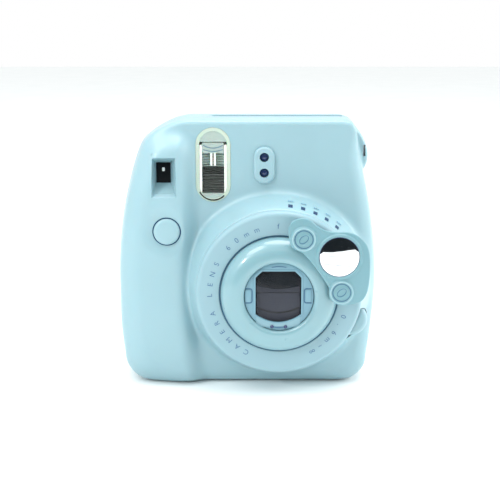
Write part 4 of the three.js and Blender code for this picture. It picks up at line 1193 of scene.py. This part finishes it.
def finder():
    """Front glass of the viewfinder, painted near black for the painted shade of the tunnel behind it, with a
    white spot painted on as the light that shows through from the eyepiece.
    """
    low, high = span("viewfinder_front_window")
    x, z = middle("viewfinder_front_window")
    half_x, half_z = high[0] - x + 0.4, high[2] - z + 0.4
    # Painted shade: the pane is near black for the dark tunnel seen through the glass.
    pane = plate("finder_pane", x - half_x, x + half_x, z - half_z, z + half_z, 0.3, low[1], high[1])
    dress(pane, BODY, "deep_black", ["viewfinder_front_window"], bevel=0.12)
    # Painted light: a white spot for the light that shows through the tunnel from the eyepiece.
    mark = plate("finder_painted_light", x - 0.55, x + 0.55, z + 0.6, z + 2.2, 0.25, low[1] - 0.06, low[1] + 0.1)
    dress(mark, BODY, "white_plastic")


def exposure_lamps():
    """Short lenses cut off just proud of the cone, with three printed dots outside each."""
    proud_of_cone = 0.06
    top_r, foot_r = CONE_TOP_R + proud_of_cone, CONE_FOOT_R + proud_of_cone
    profile = [(0, CONE_TOP_Y), (top_r, CONE_TOP_Y), (foot_r, CONE_FOOT_Y), (0, CONE_FOOT_Y)]
    for k, angle in enumerate(LAMP_ANGLES):
        lens = on_cone(angle, LAMP_R, -18.6, (1.8, 5, 0.8), f"lamp_lens_{k + 1}")
        keep(lens, turned("tool", profile, steps=240))
        dress(lens, BODY, "lamp_blue", [f"exposure_lamp_{k + 1}"])
        dots = []
        for turn in (-1.3, 0.0, 1.3):
            dots.append(on_cone(angle + turn, 38.5, -16.0, (0.4, 0.7, 0.45), f"lamp_mark_{k + 1}"))
        dress(join(*dots), BODY, "pale_ink")


# ---- back and top details
def exit_frame(outer):
    """Frame of the picture exit, set in flush with the top, and its light flap."""
    piece = block(*EXIT_RIM, name="exit_frame")
    keep(piece, copy_of(outer, "tool"))
    join(piece, block(*EXIT_BEAD))
    cut(piece, block(*EXIT_MOUTH))
    dress(piece, BODY, "trim_blue", ["film_exit_trim"])
    leaf = block(*EXIT_LEAF, name="exit_leaf")
    x0, x1 = EXIT_LEAF[:2]
    join(leaf, extruded("tool", circle(13.5, 117.1, 0.3, 16), x0, x1, axis="X"))
    dress(leaf, "exit_flap", "black_plastic", ["film_exit_flap"])


def back_details():
    """Latch of the film door and the numbers of the picture counter."""
    low, high = span("film_door_latch")
    latch = plate("door_latch_slide", low[0], high[0], low[2], high[2], 0.7, 33.6, 35.3)
    for z in np.arange(low[2] + 2.2, high[2] - 2, 1.4):
        cut(latch, block(low[0] - 1, high[0] + 1, 34.9, 36, z, z + 0.6))
    join(latch, block(*LATCH_TONGUE))
    dress(latch, "door_latch", "trim_blue", ["film_door_latch"], bevel=0.15)
    x, z = middle("film_counter_dial")
    face_y = span("film_counter_dial")[1][1] + 0.02
    spots = []
    for turn in range(0, 300, 30):
        angle = math.radians(180 + turn)
        spots.append((x + 5 * math.sin(angle), face_y, z + 5 * math.cos(angle), turn))
    glyphs("counter_numbers", "0123456789", 2.6, spots, 0.03, "counter_dial", "ink", facing=180)


# ---- stage
ELEVATION = math.radians(13)
DISTANCE = 0.45
TARGET = Vector((1.0, 1.9, 59.0)) * MM
FLOOR_HALF = 3000
FLAG_EDGE = ((-420, 1), (30, 1), (60, 5), (90, 7), (125, 12), (170, 15), (420, 30), (420, 300), (-420, 300))
FOLDS = ((-335, 7), (-262, 4), (-205, 4))

# Lights: name, place and target in metres, diameter in metres, power in watts.
LIGHTS = (
    ("key", (-0.45, -0.35, 0.8), (0, 0, 0.06), 0.45, 2.7),
    ("fill", (0.8, -0.5, 0.5), (0, 0, 0.06), 0.8, 0.8),
    ("top", (0.1, 0.05, 1.1), (0, 0, 0.05), 0.9, 9.5),
    ("glint", (-0.55, -0.5, 0.45), (0.01, -0.03, 0.05), 0.06, 1.6),
    ("rim", (0.7, 0.1, 0.35), (0, 0, 0.08), 0.5, 3.0),
)


def aim(obj, place, target):
    obj.location = place
    obj.rotation_euler = (Vector(target) - Vector(place)).to_track_quat("-Z", "Y").to_euler()


def camera():
    """Looks at the front of the object from a little above."""
    away = Vector((0, -math.cos(ELEVATION), math.sin(ELEVATION)))
    lens = bpy.data.cameras.new("camera")
    lens.lens = 72.4
    lens.sensor_width = 36.0
    lens.clip_start = 0.01
    lens.clip_end = 50
    eye = add_object("camera", lens)
    aim(eye, TARGET + away * DISTANCE, TARGET)
    bpy.context.scene.camera = eye


def studio_light(name, place, target, size, power):
    light = bpy.data.lights.new(name, "AREA")
    light.shape = "DISK"
    light.size = size
    light.energy = power
    aim(add_object(name, light), place, target)


def only_reflected(obj, finish):
    """Gives a board its finish and leaves it visible only in reflections."""
    obj.data.materials.append(FINISHES[finish])
    for kind in ("camera", "diffuse", "shadow", "transmission"):
        setattr(obj, f"visible_{kind}", False)
    return obj


def stage():
    """White room and floor, a dark board and three wavy strips for the reflections, and the lights."""
    world = bpy.data.worlds.new("studio")
    world.use_nodes = True
    set_inputs(world.node_tree.nodes["Background"], {"Color": (1.0, 1.0, 1.0, 1.0), "Strength": 1.0})
    bpy.context.scene.world = world
    bpy.context.scene.view_settings.view_transform = "Standard"
    corners = rectangle(-FLOOR_HALF, FLOOR_HALF, -FLOOR_HALF, FLOOR_HALF)
    floor = to_mesh("floor", [(x, y, 0) for x, y in corners], [(0, 1, 2, 3)])
    floor.data.materials.append(floor_material())
    flag = only_reflected(extruded("dark_flag", FLAG_EDGE, -437, -435), "deep_black")
    for k, (y, width) in enumerate(FOLDS):
        path = [(x, y + 9 * math.sin(x / 23 + k * 2)) for x in range(-60, 240, 6)]
        outline = path + [(x, along + width) for x, along in reversed(path)]
        only_reflected(extruded(f"fold_{k + 1}", outline, 0.3, 0.6, axis="Z"), "window_grey")
    for light in LIGHTS:
        studio_light(*light)


# ---- carried-over CAD nodes
def dress_cad_nodes():
    """Finish and small round edges for every CAD node that stays in view."""
    slots = {entry["node"]: entry["material_slot"] for entry in frame["record"]["subparts"]}
    for name, node in frame["nodes"].items():
        if node.hide_render:
            continue
        node.data.materials.clear()
        node.data.materials.append(FINISHES[slots[name]])
        node.data.shade_smooth()
        round_edges(node, 0.12, 2, 30)
        weigh = node.modifiers.new("even_shading", "WEIGHTED_NORMAL")
        weigh.keep_sharp = True


def main():
    camera()
    stage()
    front_cover()
    outer = surface("tool", rear_field, *REAR_BOX, COVER_PITCH)
    rear_cover(outer)
    film_door(outer)
    exit_frame(outer)
    bpy.data.objects.remove(outer)
    battery_door()
    exposure_dial()
    lens_hood()
    face_plate()
    lens_window()
    ring_lettering()
    mirror_clip()
    shutter_button()
    lens_button()
    sensor_boss()
    flash_cover()
    flash_unit()
    finder()
    exposure_lamps()
    back_details()
    dress_cad_nodes()


main()
